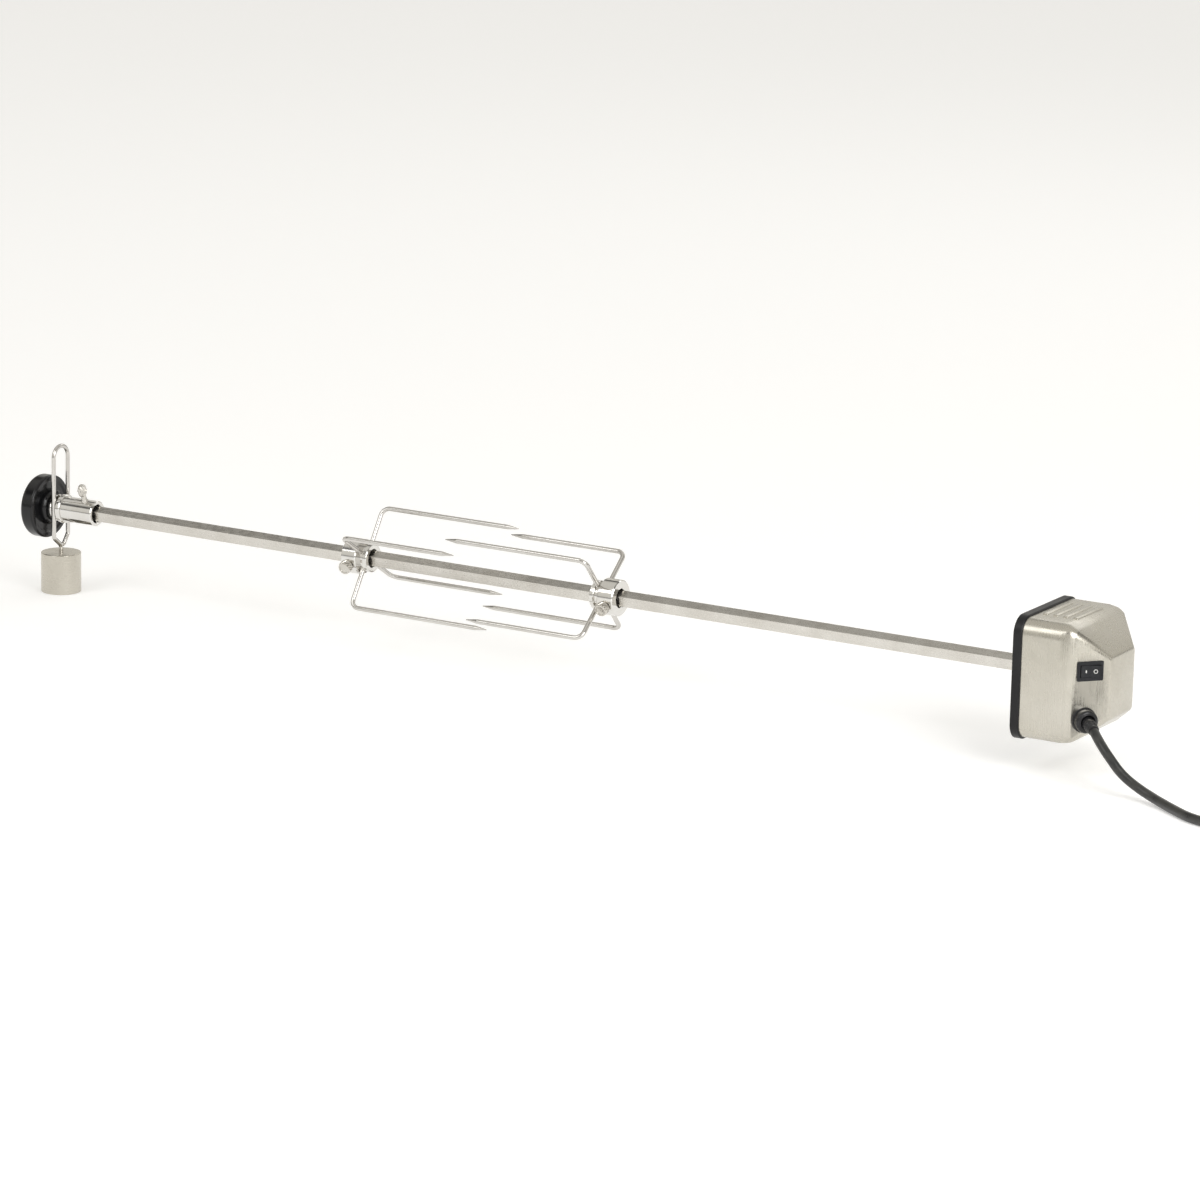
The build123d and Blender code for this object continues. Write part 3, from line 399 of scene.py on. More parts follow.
class Bench:
    """Adds primitives, and shapes them in edit mode by operators."""

    @staticmethod
    def clear() -> None:
        """Leave edit mode and deselect everything."""
        if bpy.context.object and bpy.context.object.mode != "OBJECT":
            bpy.ops.object.mode_set(mode="OBJECT")
        bpy.ops.object.select_all(action="DESELECT")

    @staticmethod
    def hold(piece: Piece) -> None:
        """Select one object and make it active."""
        Bench.clear()
        piece.select_set(True)
        bpy.context.view_layer.objects.active = piece

    @staticmethod
    def block(name: str, low: Vector, high: Vector) -> Piece:
        """Add a box between two corners.

        Args:
            name: the piece's name.
            low: its lowest corner.
            high: its highest corner.

        Returns:
            The new piece.
        """
        Bench.clear()
        bpy.ops.mesh.primitive_cube_add(size=1.0, location=(low + high) / 2, scale=high - low)
        return Bench.settle(name)

    @staticmethod
    def drum(
        name: str, foot: Vector, way: Vector, radius: float, length: float, sides: int = 32
    ) -> Piece:
        """Add a cylinder that stands on a point and looks along a direction.

        Args:
            name: the piece's name.
            foot: the middle of its foot.
            way: the direction from its foot to its head.
            radius: its radius.
            length: its height.
            sides: how many sides it has.

        Returns:
            The new piece.
        """
        Bench.clear()
        turn = way.to_track_quat("Z", "Y").to_euler()
        bpy.ops.mesh.primitive_cylinder_add(
            vertices=sides, radius=radius, depth=length,
            location=foot + way * length / 2, rotation=turn,
        )
        return Bench.settle(name)

    @staticmethod
    def ring(
        name: str, centre: Vector, way: Vector, radius: float, wire: float, sides: int = 40
    ) -> Piece:
        """Add a round ring of round wire, whose axis is a direction."""
        Bench.clear()
        turn = way.to_track_quat("Z", "Y").to_euler()
        bpy.ops.mesh.primitive_torus_add(
            major_radius=radius, minor_radius=wire, major_segments=sides, minor_segments=10,
            location=centre, rotation=turn,
        )
        return Bench.settle(name)

    @staticmethod
    def settle(name: str) -> Piece:
        """Name the active object and put its place, turn and size into its mesh."""
        piece = bpy.context.active_object
        piece.name = name
        piece.data.name = name
        bpy.ops.object.transform_apply(location=True, rotation=True, scale=True)
        return piece

    @staticmethod
    def enter(piece: Piece, mode: str) -> bmesh.types.BMesh:
        """Open a piece in edit mode with nothing selected, choosing by "FACE" or "EDGE"."""
        Bench.hold(piece)
        bpy.ops.object.mode_set(mode="EDIT")
        bpy.ops.mesh.select_mode(type=mode)
        bpy.ops.mesh.select_all(action="DESELECT")
        return bmesh.from_edit_mesh(piece.data)

    @staticmethod
    def leave() -> None:
        """Close edit mode."""
        bpy.ops.object.mode_set(mode="OBJECT")

    @staticmethod
    def choose_faces(piece: Piece, test: Test) -> int:
        """Open a piece and select the faces that pass a test of middle and normal.

        Returns:
            How many faces are selected.
        """
        mesh = Bench.enter(piece, "FACE")
        chosen = [f for f in mesh.faces if test(f.calc_center_median(), f.normal)]
        return Bench.select(piece, chosen)

    @staticmethod
    def choose_edges(piece: Piece, test: Test) -> int:
        """Open a piece and select the edges that pass a test of middle and direction.

        Returns:
            How many edges are selected.
        """
        mesh = Bench.enter(piece, "EDGE")
        chosen = []
        for edge in mesh.edges:
            first, second = (v.co for v in edge.verts)
            if test((first + second) / 2, (second - first).normalized()):
                chosen.append(edge)
        return Bench.select(piece, chosen)

    @staticmethod
    def select(piece: Piece, chosen: list[bmesh.types.BMFace | bmesh.types.BMEdge]) -> int:
        """Select these parts of an open piece, and say how many they are."""
        for part in chosen:
            part.select_set(True)
        bmesh.update_edit_mesh(piece.data)
        return len(chosen)

    @staticmethod
    def round_edges(
        piece: Piece, width: float, steps: int, test: Test
    ) -> None:
        """Bevel the edges that pass a test."""
        if Bench.choose_edges(piece, test):
            bpy.ops.mesh.bevel(offset=width, offset_type="OFFSET", segments=steps, affect="EDGES")
        Bench.leave()

    @staticmethod
    def cut(piece: Piece, point: Vector, way: Vector, fill: bool = True) -> None:
        """Cut off what lies beyond a plane, on the side that its direction points to."""
        Bench.enter(piece, "FACE")
        bpy.ops.mesh.select_all(action="SELECT")
        bpy.ops.mesh.bisect(plane_co=point, plane_no=way, use_fill=fill, clear_outer=True)
        Bench.leave()

    @staticmethod
    def apply(piece: Piece, kind: str, **settings: object) -> None:
        """Add a modifier with these settings and apply it."""
        Bench.hold(piece)
        made = piece.modifiers.new(kind.lower(), kind)
        for name, value in settings.items():
            setattr(made, name, value)
        bpy.ops.object.modifier_apply(modifier=made.name)

    @staticmethod
    def soften(piece: Piece, width: float, steps: int = 2, over: float = 28.0) -> None:
        """Round every edge sharper than an angle."""
        Bench.apply(
            piece, "BEVEL", width=width, segments=steps, limit_method="ANGLE",
            angle_limit=math.radians(over), harden_normals=False, use_clamp_overlap=True,
        )

    @staticmethod
    def finish(piece: Piece, smooth: float = 32.0) -> Piece:
        """Merge doubles, point faces outwards and shade smooth up to an angle."""
        Bench.enter(piece, "FACE")
        bpy.ops.mesh.select_all(action="SELECT")
        bpy.ops.mesh.remove_doubles(threshold=1.0e-6)
        bpy.ops.mesh.normals_make_consistent(inside=False)
        Bench.leave()
        Bench.hold(piece)
        bpy.ops.object.shade_smooth_by_angle(angle=math.radians(smooth))
        return piece

    @staticmethod
    def join(name: str, pieces: list[Piece]) -> Piece:
        """Join pieces into one."""
        Bench.clear()
        for piece in pieces:
            piece.select_set(True)
        bpy.context.view_layer.objects.active = pieces[0]
        bpy.ops.object.join()
        return Bench.settle(name)

    @staticmethod
    def copy(piece: Piece, name: str, move: Matrix) -> Piece:
        """Copy a piece with its own mesh, moved by a matrix."""
        twin = piece.copy()
        twin.data = piece.data.copy()
        twin.name = name
        twin.data.name = name
        bpy.context.collection.objects.link(twin)
        twin.data.transform(move)
        return twin

    @staticmethod
    def sweep_ring(
        name: str, stations: list[Station], sides: int = 28
    ) -> Piece:
        """A closed tube grown ring by ring through stations of centre, direction and radius.

        Args:
            name: the piece's name.
            stations: each ring's centre, the way it looks and its radius.
            sides: how many sides it has.

        Returns:
            The new piece.
        """
        Bench.clear()
        centre, way, radius = stations[0]
        turn = way.to_track_quat("Z", "Y")
        bpy.ops.mesh.primitive_circle_add(
            vertices=sides, radius=radius, location=centre, rotation=turn.to_euler(),
            fill_type="NGON",
        )
        piece = Bench.settle(name)
        Bench.enter(piece, "FACE")
        bpy.ops.mesh.select_all(action="SELECT")
        for (before, old_way, old_radius), (after, new_way, new_radius) in zip(
            stations, stations[1:]
        ):
            bpy.ops.mesh.extrude_region_move(TRANSFORM_OT_translate={"value": after - before})
            grown = new_radius / old_radius
            lean = old_way.rotation_difference(new_way).to_matrix().to_4x4()
            about = Matrix.Translation(after)
            mesh = bmesh.from_edit_mesh(piece.data)
            moved = [v for v in mesh.verts if v.select]
            bmesh.ops.transform(mesh, matrix=about @ lean @ about.inverted(), verts=moved)
            bmesh.update_edit_mesh(piece.data)
            bpy.ops.transform.resize(value=(grown,) * 3, center_override=after)
        Bench.leave()
        return piece


# ------------------------------------------------------------------ motor housing


@dataclass
class MotorHousing:
    """The faceted steel housing with its hooded louvres and corner posts."""

    shop: PaintShop
    half_width: float = 0.0485
    half_height: float = 0.0475
    back_x: float = 0.007
    wall_end_x: float = 0.045
    nose_x: float = 0.070
    nose_half_width: float = 0.021
    nose_top_z: float = 0.0215
    nose_bottom_z: float = -0.028
    corner: float = 0.0125
    shoulder: float = 0.52
    ridge: float = 0.3
    nose_edge: float = 0.16
    wall: float = 0.001
    louvre_first_x: float = 0.013
    louvre_pitch: float = 0.0085
    louvre_count: int = 4
    louvre_length: float = 0.046
    louvre_radius: float = 0.0026
    louvre_rise: float = 0.55
    louvre_end_round: float = 0.0012
    louvre_sink: float = 0.0004
    louvre_mouth: float = 0.0016
    louvre_wall: float = 0.0006
    vent_end_gap: float = 0.002
    vent_back: float = 0.0022
    vent_front: float = 0.0002
    vent_reach: float = 0.004
    post_y: float = 0.042
    post_z: float = 0.041
    post_radius: float = 0.0031
    post_end_x: float = 0.026
    post_bore: float = 0.0016
    post_bore_depth: float = 0.012
    post_round: float = 0.0005
    gland_depth: float = 0.005
    switch_half: Vector = at(0.0096, 0.0066, 0.006)
    switch_along: float = 0.0195
    switch_z: float = 0.012
    gland_along: float = 0.0156
    gland_z: float = -0.026
    gland_radius: float = 0.0078

    def facet_normals(self) -> list[tuple[Vector, Vector]]:
        """A point on each facet and the facet's outward normal."""
        run = self.nose_x - self.wall_end_x
        found = []
        for side in (1, -1):
            fall = self.half_width - self.nose_half_width
            edge = Vector((self.wall_end_x, side * self.half_width, 0))
            found.append((edge, Vector((fall, side * run, 0))))
        top_fall = self.half_height - self.nose_top_z
        low_fall = self.half_height + self.nose_bottom_z
        found.append((Vector((self.wall_end_x, 0, self.half_height)), Vector((top_fall, 0, run))))
        found.append((Vector((self.wall_end_x, 0, -self.half_height)), Vector((low_fall, 0, -run))))
        return [(point, way.normalized()) for point, way in found]

    def build_skin(self) -> Piece:
        """The housing's skin: a rounded box cut by four facets, hollowed and opened.

        Returns:
            The skin, its wall inwards.
        """
        low = Vector((self.back_x, -self.half_width, -self.half_height))
        high = Vector((self.nose_x, self.half_width, self.half_height))
        skin = Bench.block("housing_skin", low, high)
        for point, way in self.facet_normals():
            Bench.cut(skin, point, way)
        self.weigh_edges(skin)
        Bench.apply(
            skin, "BEVEL", width=self.corner, segments=8, limit_method="WEIGHT",
            use_clamp_overlap=True,
        )
        limit = self.back_x + TINY
        if Bench.choose_faces(skin, lambda middle, normal: normal.x < -0.9 and middle.x < limit):
            bpy.ops.mesh.delete(type="FACE")
        Bench.leave()
        Bench.finish(skin)
        Bench.apply(skin, "SOLIDIFY", thickness=self.wall, offset=-1.0, use_even_offset=True)
        return skin

    def weigh_edges(self, skin: Piece) -> None:
        """Say how round each edge is, as a share of the long corners' radius."""
        weights = skin.data.attributes.new("bevel_weight_edge", "FLOAT", "EDGE")
        near = 10 * TINY
        for edge in skin.data.edges:
            first, second = (skin.data.vertices[i].co for i in edge.vertices)
            low, high = sorted((first.x, second.x))
            if high < self.back_x + near:
                share = 0.0
            elif low < self.back_x + near:
                share = 1.0
            elif high < self.wall_end_x + near:
                share = self.shoulder
            elif low > self.nose_x - near:
                share = self.nose_edge
            else:
                share = self.ridge
            weights.data[edge.index].value = share

    def louvre_place(self, index: int) -> float:
        """Where a louvre's middle is along X."""
        return self.louvre_first_x + index * self.louvre_pitch

    def build_cutter(self) -> Piece:
        """One body for all that is cut from the skin: the vents, the switch and the gland."""
        cutters = []
        for index in range(self.louvre_count):
            x = self.louvre_place(index)
            half = self.louvre_length / 2 - self.vent_end_gap
            low = Vector((x - self.vent_back, -half, self.half_height - self.vent_reach))
            high = Vector((x + self.vent_front, half, self.half_height + self.vent_reach))
            cutters.append(Bench.block(f"vent_{index}", low, high))
        normal = self.facet_normals()[1][1]
        along = Vector((-normal.y, normal.x, 0))
        half = self.switch_half
        switch = Bench.block("switch_opening", -half, half)
        corner = Vector((self.wall_end_x, -self.half_width, 0))
        turn = Matrix((along, Vector((0, 0, 1)), normal)).transposed().to_4x4()
        middle = corner + along * self.switch_along + Vector((0, 0, self.switch_z))
        switch.data.transform(Matrix.Translation(middle) @ turn)
        cutters.append(switch)
        middle = corner + along * self.gland_along + Vector((0, 0, self.gland_z))
        foot = middle - normal * self.gland_depth
        size = self.gland_radius, 2 * self.gland_depth
        cutters.append(Bench.drum("gland_opening", foot, normal, *size, 32))
        return Bench.join("housing_cutter", cutters)

    def build_louvre(self) -> Piece:
        """One hood: half a drum with closed ends, open on the side towards the rod."""
        x = self.louvre_place(0)
        foot = Vector((x, -self.louvre_length / 2, self.half_height - 0.0002))
        size = self.louvre_radius, self.louvre_length
        hood = Bench.drum("louvre_hood_1", foot, Vector((0, 1, 0)), *size, 32)
        Bench.round_edges(
            hood, self.louvre_end_round, 3,
            lambda middle, way: abs(abs(middle.y) - self.louvre_length / 2) < TINY,
        )
        Bench.enter(hood, "FACE")
        bpy.ops.mesh.select_all(action="SELECT")
        base = Vector((x, 0, self.half_height - self.louvre_sink))
        bpy.ops.transform.resize(value=(1, 1, self.louvre_rise), center_override=base)
        Bench.leave()
        Bench.cut(hood, base, Vector((0, 0, -1)), False)
        Bench.cut(hood, Vector((x - self.louvre_mouth, 0, 0)), -OUT, False)
        Bench.finish(hood)
        Bench.apply(hood, "SOLIDIFY", thickness=self.louvre_wall, offset=-1.0)
        return Bench.finish(hood)

    def build_post(self) -> Piece:
        """One screw post, bored from its foot."""
        foot = Vector((self.back_x, self.post_y, self.post_z))
        length = self.post_end_x - self.back_x
        post = Bench.drum("corner_post_1", foot, OUT, self.post_radius, length)
        limit = self.back_x + TINY
        Bench.choose_faces(post, lambda middle, normal: middle.x < limit)
        bpy.ops.mesh.inset(thickness=self.post_radius - self.post_bore)
        bore = OUT * self.post_bore_depth
        bpy.ops.mesh.extrude_region_move(TRANSFORM_OT_translate={"value": bore})
        Bench.leave()
        Bench.round_edges(
            post, self.post_round, 2,
            lambda middle, way: middle.x > self.post_end_x - TINY and abs(way.x) < 0.1,
        )
        return Bench.finish(post)

    def build(self) -> list[Piece]:
        """Build and dress the housing.

        Returns:
            Its pieces.
        """
        skin = self.build_skin()
        cutter = self.build_cutter()
        Bench.apply(skin, "BOOLEAN", operation="DIFFERENCE", object=cutter, solver="EXACT")
        bpy.data.objects.remove(cutter)
        Bench.finish(skin, 24.0)
        hood = self.build_louvre()
        hoods = [hood]
        for index in range(1, self.louvre_count):
            move = Matrix.Translation((index * self.louvre_pitch, 0, 0))
            hoods.append(Bench.copy(hood, f"louvre_hood_{index + 1}", move))
        post = self.build_post()
        posts = [post]
        for index, (y, z) in enumerate(((-1, 1), (1, -1), (-1, -1))):
            move = Matrix.Translation((0, (y - 1) * self.post_y, (z - 1) * self.post_z))
            posts.append(Bench.copy(post, f"corner_post_{index + 2}", move))
        self.shop.dress(skin, "shell_steel", "motor", "motor_shell")
        for piece in (*hoods, *posts):
            self.shop.dress(piece, "shell_steel", "motor")
        return [skin, *hoods, *posts]


# ------------------------------------------------------------------ switch and cord entry


@dataclass
class SwitchMarks:
    """The two generic marks on the rocker's face."""

    shop: PaintShop
    centre: Vector = at(0.0581169, -0.0340708, 0.012)
    normal: Vector = field(default_factory=FACET_WAY.copy)
    reach: float = 0.0037
    ring_radius: float = 0.0014
    line: float = 0.00028
    bar_sink: float = 0.0003
    bar_size: float = 0.0005
    bar_stretch: float = 2.4

    def build(self) -> list[Piece]:
        """Build and dress the marks.

        Returns:
            The ring and the bar.
        """
        along = Vector((-self.normal.y, self.normal.x, 0))
        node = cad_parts["switch_rocker"]
        seats = []
        for way in (1, -1):
            spot = self.centre + along * self.reach * way
            start = spot + self.normal * 0.02
            hit, place, normal, _ = node.ray_cast(start, -self.normal)
            seats.append((place, normal) if hit else (spot + self.normal * 0.003, self.normal))
        (ring_place, ring_way), (bar_place, bar_way) = seats
        ring = Bench.ring("rocker_ring_mark", ring_place, ring_way, self.ring_radius, self.line, 32)
        foot = bar_place - bar_way * self.bar_sink
        bar = Bench.drum("rocker_bar_mark", foot, bar_way, self.bar_size, self.bar_size, 16)
        Bench.enter(bar, "FACE")
        bpy.ops.mesh.select_all(action="SELECT")
        bpy.ops.transform.resize(value=(1, 1, self.bar_stretch), center_override=bar_place)
        Bench.leave()
        return [self.shop.dress(Bench.finish(m), "mark_white", "rocker") for m in (ring, bar)]


@dataclass
class CordEntry:
    """The tapered, ribbed strain relief that the cord leaves the gland through."""

    shop: PaintShop
    centre: Vector = at(0.0554955, -0.0369550, -0.026)
    normal: Vector = field(default_factory=FACET_WAY.copy)
    exit: Vector = at(*CORD_EXIT)
    root: float = 0.0054
    tip: float = 0.0043
    depth: float = 0.008
    straight: float = 0.0150
    steps: int = 34
    taper_start: float = 0.45
    first_rib: float = 0.62
    last_rib: float = 0.97
    rib_depth: float = 0.0006
    seal_out: float = 0.0100
    seal_radius: float = 0.0062
    seal_wire: float = 0.0007

    def stations(self) -> list[Station]:
        """The relief's rings, from inside the housing to where the cord leaves it."""
        start = self.centre - self.normal * self.depth
        bend = self.centre + self.normal * self.straight
        found = []
        for step in range(self.steps + 1):
            t = step / self.steps
            point = (1 - t) ** 2 * start + 2 * t * (1 - t) * bend + t * t * self.exit
            way = ((1 - t) * (bend - start) + t * (self.exit - bend)).normalized()
            taper = max(0.0, (t - self.taper_start) / (1 - self.taper_start))
            radius = self.root + (self.tip - self.root) * taper
            if self.first_rib < t < self.last_rib and step % 3 == 0:
                radius -= self.rib_depth
            found.append((point, way, radius))
        return found

    def build(self) -> list[Piece]:
        """Build and dress the strain relief.

        Returns:
            The relief and the gland's sealing ring.
        """
        relief = Bench.finish(Bench.sweep_ring("cord_relief", self.stations()), 50.0)
        self.shop.dress(relief, "gland_black", "motor", "strain_relief")
        seat = self.centre + self.normal * self.seal_out
        seal = Bench.ring("gland_seal_lip", seat, self.normal, self.seal_radius, self.seal_wire, 36)
        return [relief, self.shop.dress(Bench.finish(seal, 50.0), "gland_black", "motor")]


# ------------------------------------------------------------------ mains cord


@dataclass
class MainsLead:
    """The mains cord, its stored coil and its moulded plug."""

    shop: PaintShop
    exit: tuple[float, float, float] = CORD_EXIT
    radius: float = 0.00375
    length: float = 1.5
    coil_centre: Vector = at(0.262, -0.133, 0)
    outer_turn: float = 0.0467
    middle_turn: float = 0.0391
    inner_turn: float = 0.0315
    entry_angle: float = 105.0
    coil_sweep: float = 1870.0
    shift_sweep: float = 150.0
    rise_start: float = 930.0
    layer: float = 0.0076
    plug_tail: Vector = at(0.323, -0.138, -0.063)
    points_per_turn: int = 18
    plug_half_width: float = 0.013
    plug_half_height: float = 0.011
    plug_reach: float = 0.0435
    tie_half_width: float = 0.0016
    tie_wall: float = 0.0005
    tie_round: float = 0.0034
    boot_steps: int = 12
    boot_radius: float = 0.0050
    boot_flare: float = 0.0022
    boot_groove: float = 0.0007
    boot_length: float = 0.012
    grip_start: float = 0.0110
    grip_taper: float = 0.62
    grip_corner: float = 0.0048
    grip_edge: float = 0.0014
    rib_count: int = 4
    rib_start: float = 0.0245
    rib_pitch: float = 0.0042
    rib_sink: float = 0.0010
    rib_half_width: float = 0.0008
    rib_half_height: float = 0.0055

    def route(self) -> list[Vector]:
        """The lead from the strain relief to the coil, as it falls and lies on the floor."""
        lies = FLOOR_Z + self.radius
        return [
            Vector(self.exit),
            Vector((0.0806, -0.0597, -0.0352)),
            Vector((0.0930, -0.0650, -0.0455)),
            Vector((0.1035, -0.0665, -0.0555)),
            Vector((0.1170, -0.0655, -0.0640)),
            Vector((0.1340, -0.0700, -0.0690)),
            Vector((0.1530, -0.0820, lies)),
            Vector((0.1750, -0.0975, lies)),
            Vector((0.1990, -0.1025, lies)),
            Vector((0.2220, -0.0970, lies)),
            Vector((0.2360, -0.0912, lies)),
        ]

    def coil(self) -> list[Vector]:
        """The coil's points: three turns inwards, a step up, and three turns outwards."""
        lies = FLOOR_Z + self.radius
        shifts = [
            (300.0, self.outer_turn, self.middle_turn),
            (660.0, self.middle_turn, self.inner_turn),
            (1260.0, self.inner_turn, self.middle_turn),
            (1560.0, self.middle_turn, self.outer_turn),
        ]
        found = []
        step = 360.0 / self.points_per_turn
        for index in range(int(self.coil_sweep / step) + 1):
            swept = index * step
            turn_radius = self.outer_turn
            for start, before, after in shifts:
                share = min(max((swept - start) / self.shift_sweep, 0.0), 1.0)
                turn_radius += (after - before) * share * share * (3 - 2 * share)
            rise = min(max((swept - self.rise_start) / self.shift_sweep, 0.0), 1.0)
            angle = math.radians(self.entry_angle - swept)
            loose = 1.0 + 0.010 * math.cos(2 * angle + 0.6)
            place = Vector((math.cos(angle), math.sin(angle), 0)) * turn_radius * loose
            height = lies + self.layer * rise * rise * (3 - 2 * rise)
            found.append(self.coil_centre + place + Vector((0, 0, height)))
        return found

    def build_cord(self) -> Piece:
        """The cord as one smooth open line of round section.

        Returns:
            The cord.
        """
        way_out = [
            Vector((0.3133, -0.1182, -0.0628)),
            Vector((0.3198, -0.1290, -0.0630)),
            Vector((0.3229, -0.1400, -0.0630)),
            Vector((0.3231, -0.1470, -0.0630)),
        ]
        points = [*self.route(), *self.coil(), *way_out]
        line = bpy.data.curves.new("mains_cord", "CURVE")
        line.dimensions = "3D"
        spline = line.splines.new("NURBS")
        spline.points.add(len(points) - 1)
        for held, point in zip(spline.points, points):
            held.co = (*point, 1.0)
        spline.order_u = 3
        spline.use_endpoint_u = True
        spline.resolution_u = 8
        line.resolution_u = 8
        line.bevel_depth = self.radius
        line.bevel_resolution = 5
        line.use_fill_caps = True
        cord = bpy.data.objects.new("mains_cord", line)
        bpy.context.collection.objects.link(cord)
        return cord

    def build_plug(self) -> Piece:
        """The moulded plug: a tapering ribbed tail grown into a rounded grip.

        Returns:
            The plug.
        """
        way = Vector((0, -1, 0))
        tail = self.plug_tail
        stations = []
        for step in range(self.boot_steps + 1):
            t = step / self.boot_steps
            radius = self.boot_radius + self.boot_flare * t
            radius -= self.boot_groove if step % 3 == 1 else 0.0
            stations.append((tail + way * (self.boot_length * t), way, radius))
        boot = Bench.sweep_ring("plug_tail_boot", stations, 24)
        front = tail + way * self.plug_reach
        low = Vector((front.x - self.plug_half_width, front.y, FLOOR_Z + 10 * TINY))
        top = FLOOR_Z + 2 * self.plug_half_height - 10 * TINY
        high = Vector((front.x + self.plug_half_width, tail.y - self.grip_start, top))
        grip = Bench.block("plug_grip", low, high)
        back = high.y - TINY
        Bench.choose_faces(grip, lambda middle, normal: middle.y > back)
        middle = Vector((front.x, high.y, tail.z))
        share = self.grip_taper
        bpy.ops.transform.resize(value=(share, 1, share), center_override=middle)
        Bench.leave()
        Bench.round_edges(grip, self.grip_corner, 5, lambda middle, normal: abs(normal.y) > 0.6)
        Bench.soften(grip, self.grip_edge, 3)
        ribs = []
        half = Vector((self.rib_half_width, self.rib_half_width, self.rib_half_height))
        for index in range(self.rib_count):
            y = tail.y - self.rib_start - index * self.rib_pitch
            for side in (1, -1):
                x = front.x + side * (self.plug_half_width - self.rib_sink)
                place = Vector((x, y, tail.z))
                rib = Bench.block(f"plug_rib_{index}_{side + 1}", place - half, place + half)
                Bench.soften(rib, 0.0005, 2)
                ribs.append(rib)
        plug = Bench.join("mains_plug", [grip, boot, *ribs])
        return Bench.finish(plug, 40.0)

    def build_tie(self) -> Piece:
        """A twist tie round the coil's bundle, with its twisted ends.

        Returns:
            The tie.
        """
        mid_radius = (self.outer_turn + self.inner_turn) / 2
        centre = self.coil_centre + Vector((0, -mid_radius, FLOOR_Z + 0.0076))
        half_wide = (self.outer_turn - self.inner_turn) / 2 + self.radius
        half_high = 2 * self.radius
        reach = half_wide + self.tie_wall
        low = centre - Vector((self.tie_half_width, reach, half_high))
        high = centre + Vector((self.tie_half_width, reach, half_high + 0.0009))
        band = Bench.block("coil_tie", low, high)
        Bench.round_edges(band, self.tie_round, 5, lambda middle, way: abs(way.x) > 0.9)
        if Bench.choose_faces(band, lambda middle, normal: abs(normal.x) > 0.9):
            bpy.ops.mesh.delete(type="FACE")
        Bench.leave()
        Bench.finish(band)
        Bench.apply(band, "SOLIDIFY", thickness=self.tie_wall, offset=-1.0)
        top = Vector((centre.x, centre.y, high.z))
        ends = []
        for side in (1, -1):
            stations = []
            for step in range(9):
                t = step / 8
                swing = 0.0007 * math.sin(step * 1.6) * side
                place = top + Vector((swing, side * 0.0035 * t, 0.0002 + 0.0035 * t * (1 - t)))
                stations.append((place, Vector((0, side, 0.2)).normalized(), 0.0006))
            ends.append(Bench.sweep_ring(f"tie_end_{side + 1}", stations, 10))
        return Bench.finish(Bench.join("coil_tie", [band, *ends]), 40.0)

    def build(self) -> list[Piece]:
        """Returns:
            Its pieces.
        """
        cord = self.build_cord()
        plug = self.build_plug()
        tie = self.build_tie()
        self.shop.dress(cord, "cord_black", "motor", "power_cord", "cord_coil")
        self.shop.dress(plug, "cord_black", "motor", "plug_body")
        self.shop.dress(tie, "gland_black", "motor")
        return [cord, plug, tie]


# ------------------------------------------------------------------ screws and welds


def spoke(angle: float) -> Vector:
    """The direction away from the rod at an angle in degrees about it, from +Y to +Z."""
    return Vector((0, math.cos(math.radians(angle)), math.sin(math.radians(angle))))


@dataclass
class RodScrew:
    """A screw that stands on a collar and presses on the rod."""

    shop: PaintShop
    name: str
    node: str
    body: str
    along: float
    angle: float = 200.0
    shank: float = 0.0025
    seat: float = 0.015
    foot: float = 0.00505

    def build_shank(self, top: float) -> Piece:
        """The threaded shank, from the rod up to a height above its axis."""
        return Bench.drum("shank", UP * self.foot, UP, self.shank * 0.96, top - self.foot, 24)

    def place(self, screw: Piece, turn: Matrix) -> Piece:
        """Turn the finished screw to its angle, move it along the rod and dress it.

        Args:
            screw: the screw, standing on the origin.
            turn: the turn from +Z to its angle.

        Returns:
            The screw.
        """
        screw.data.transform(Matrix.Translation((self.along, 0, 0)) @ turn)
        return self.shop.dress(Bench.finish(screw, 38.0), "screw_steel", self.body, self.node)


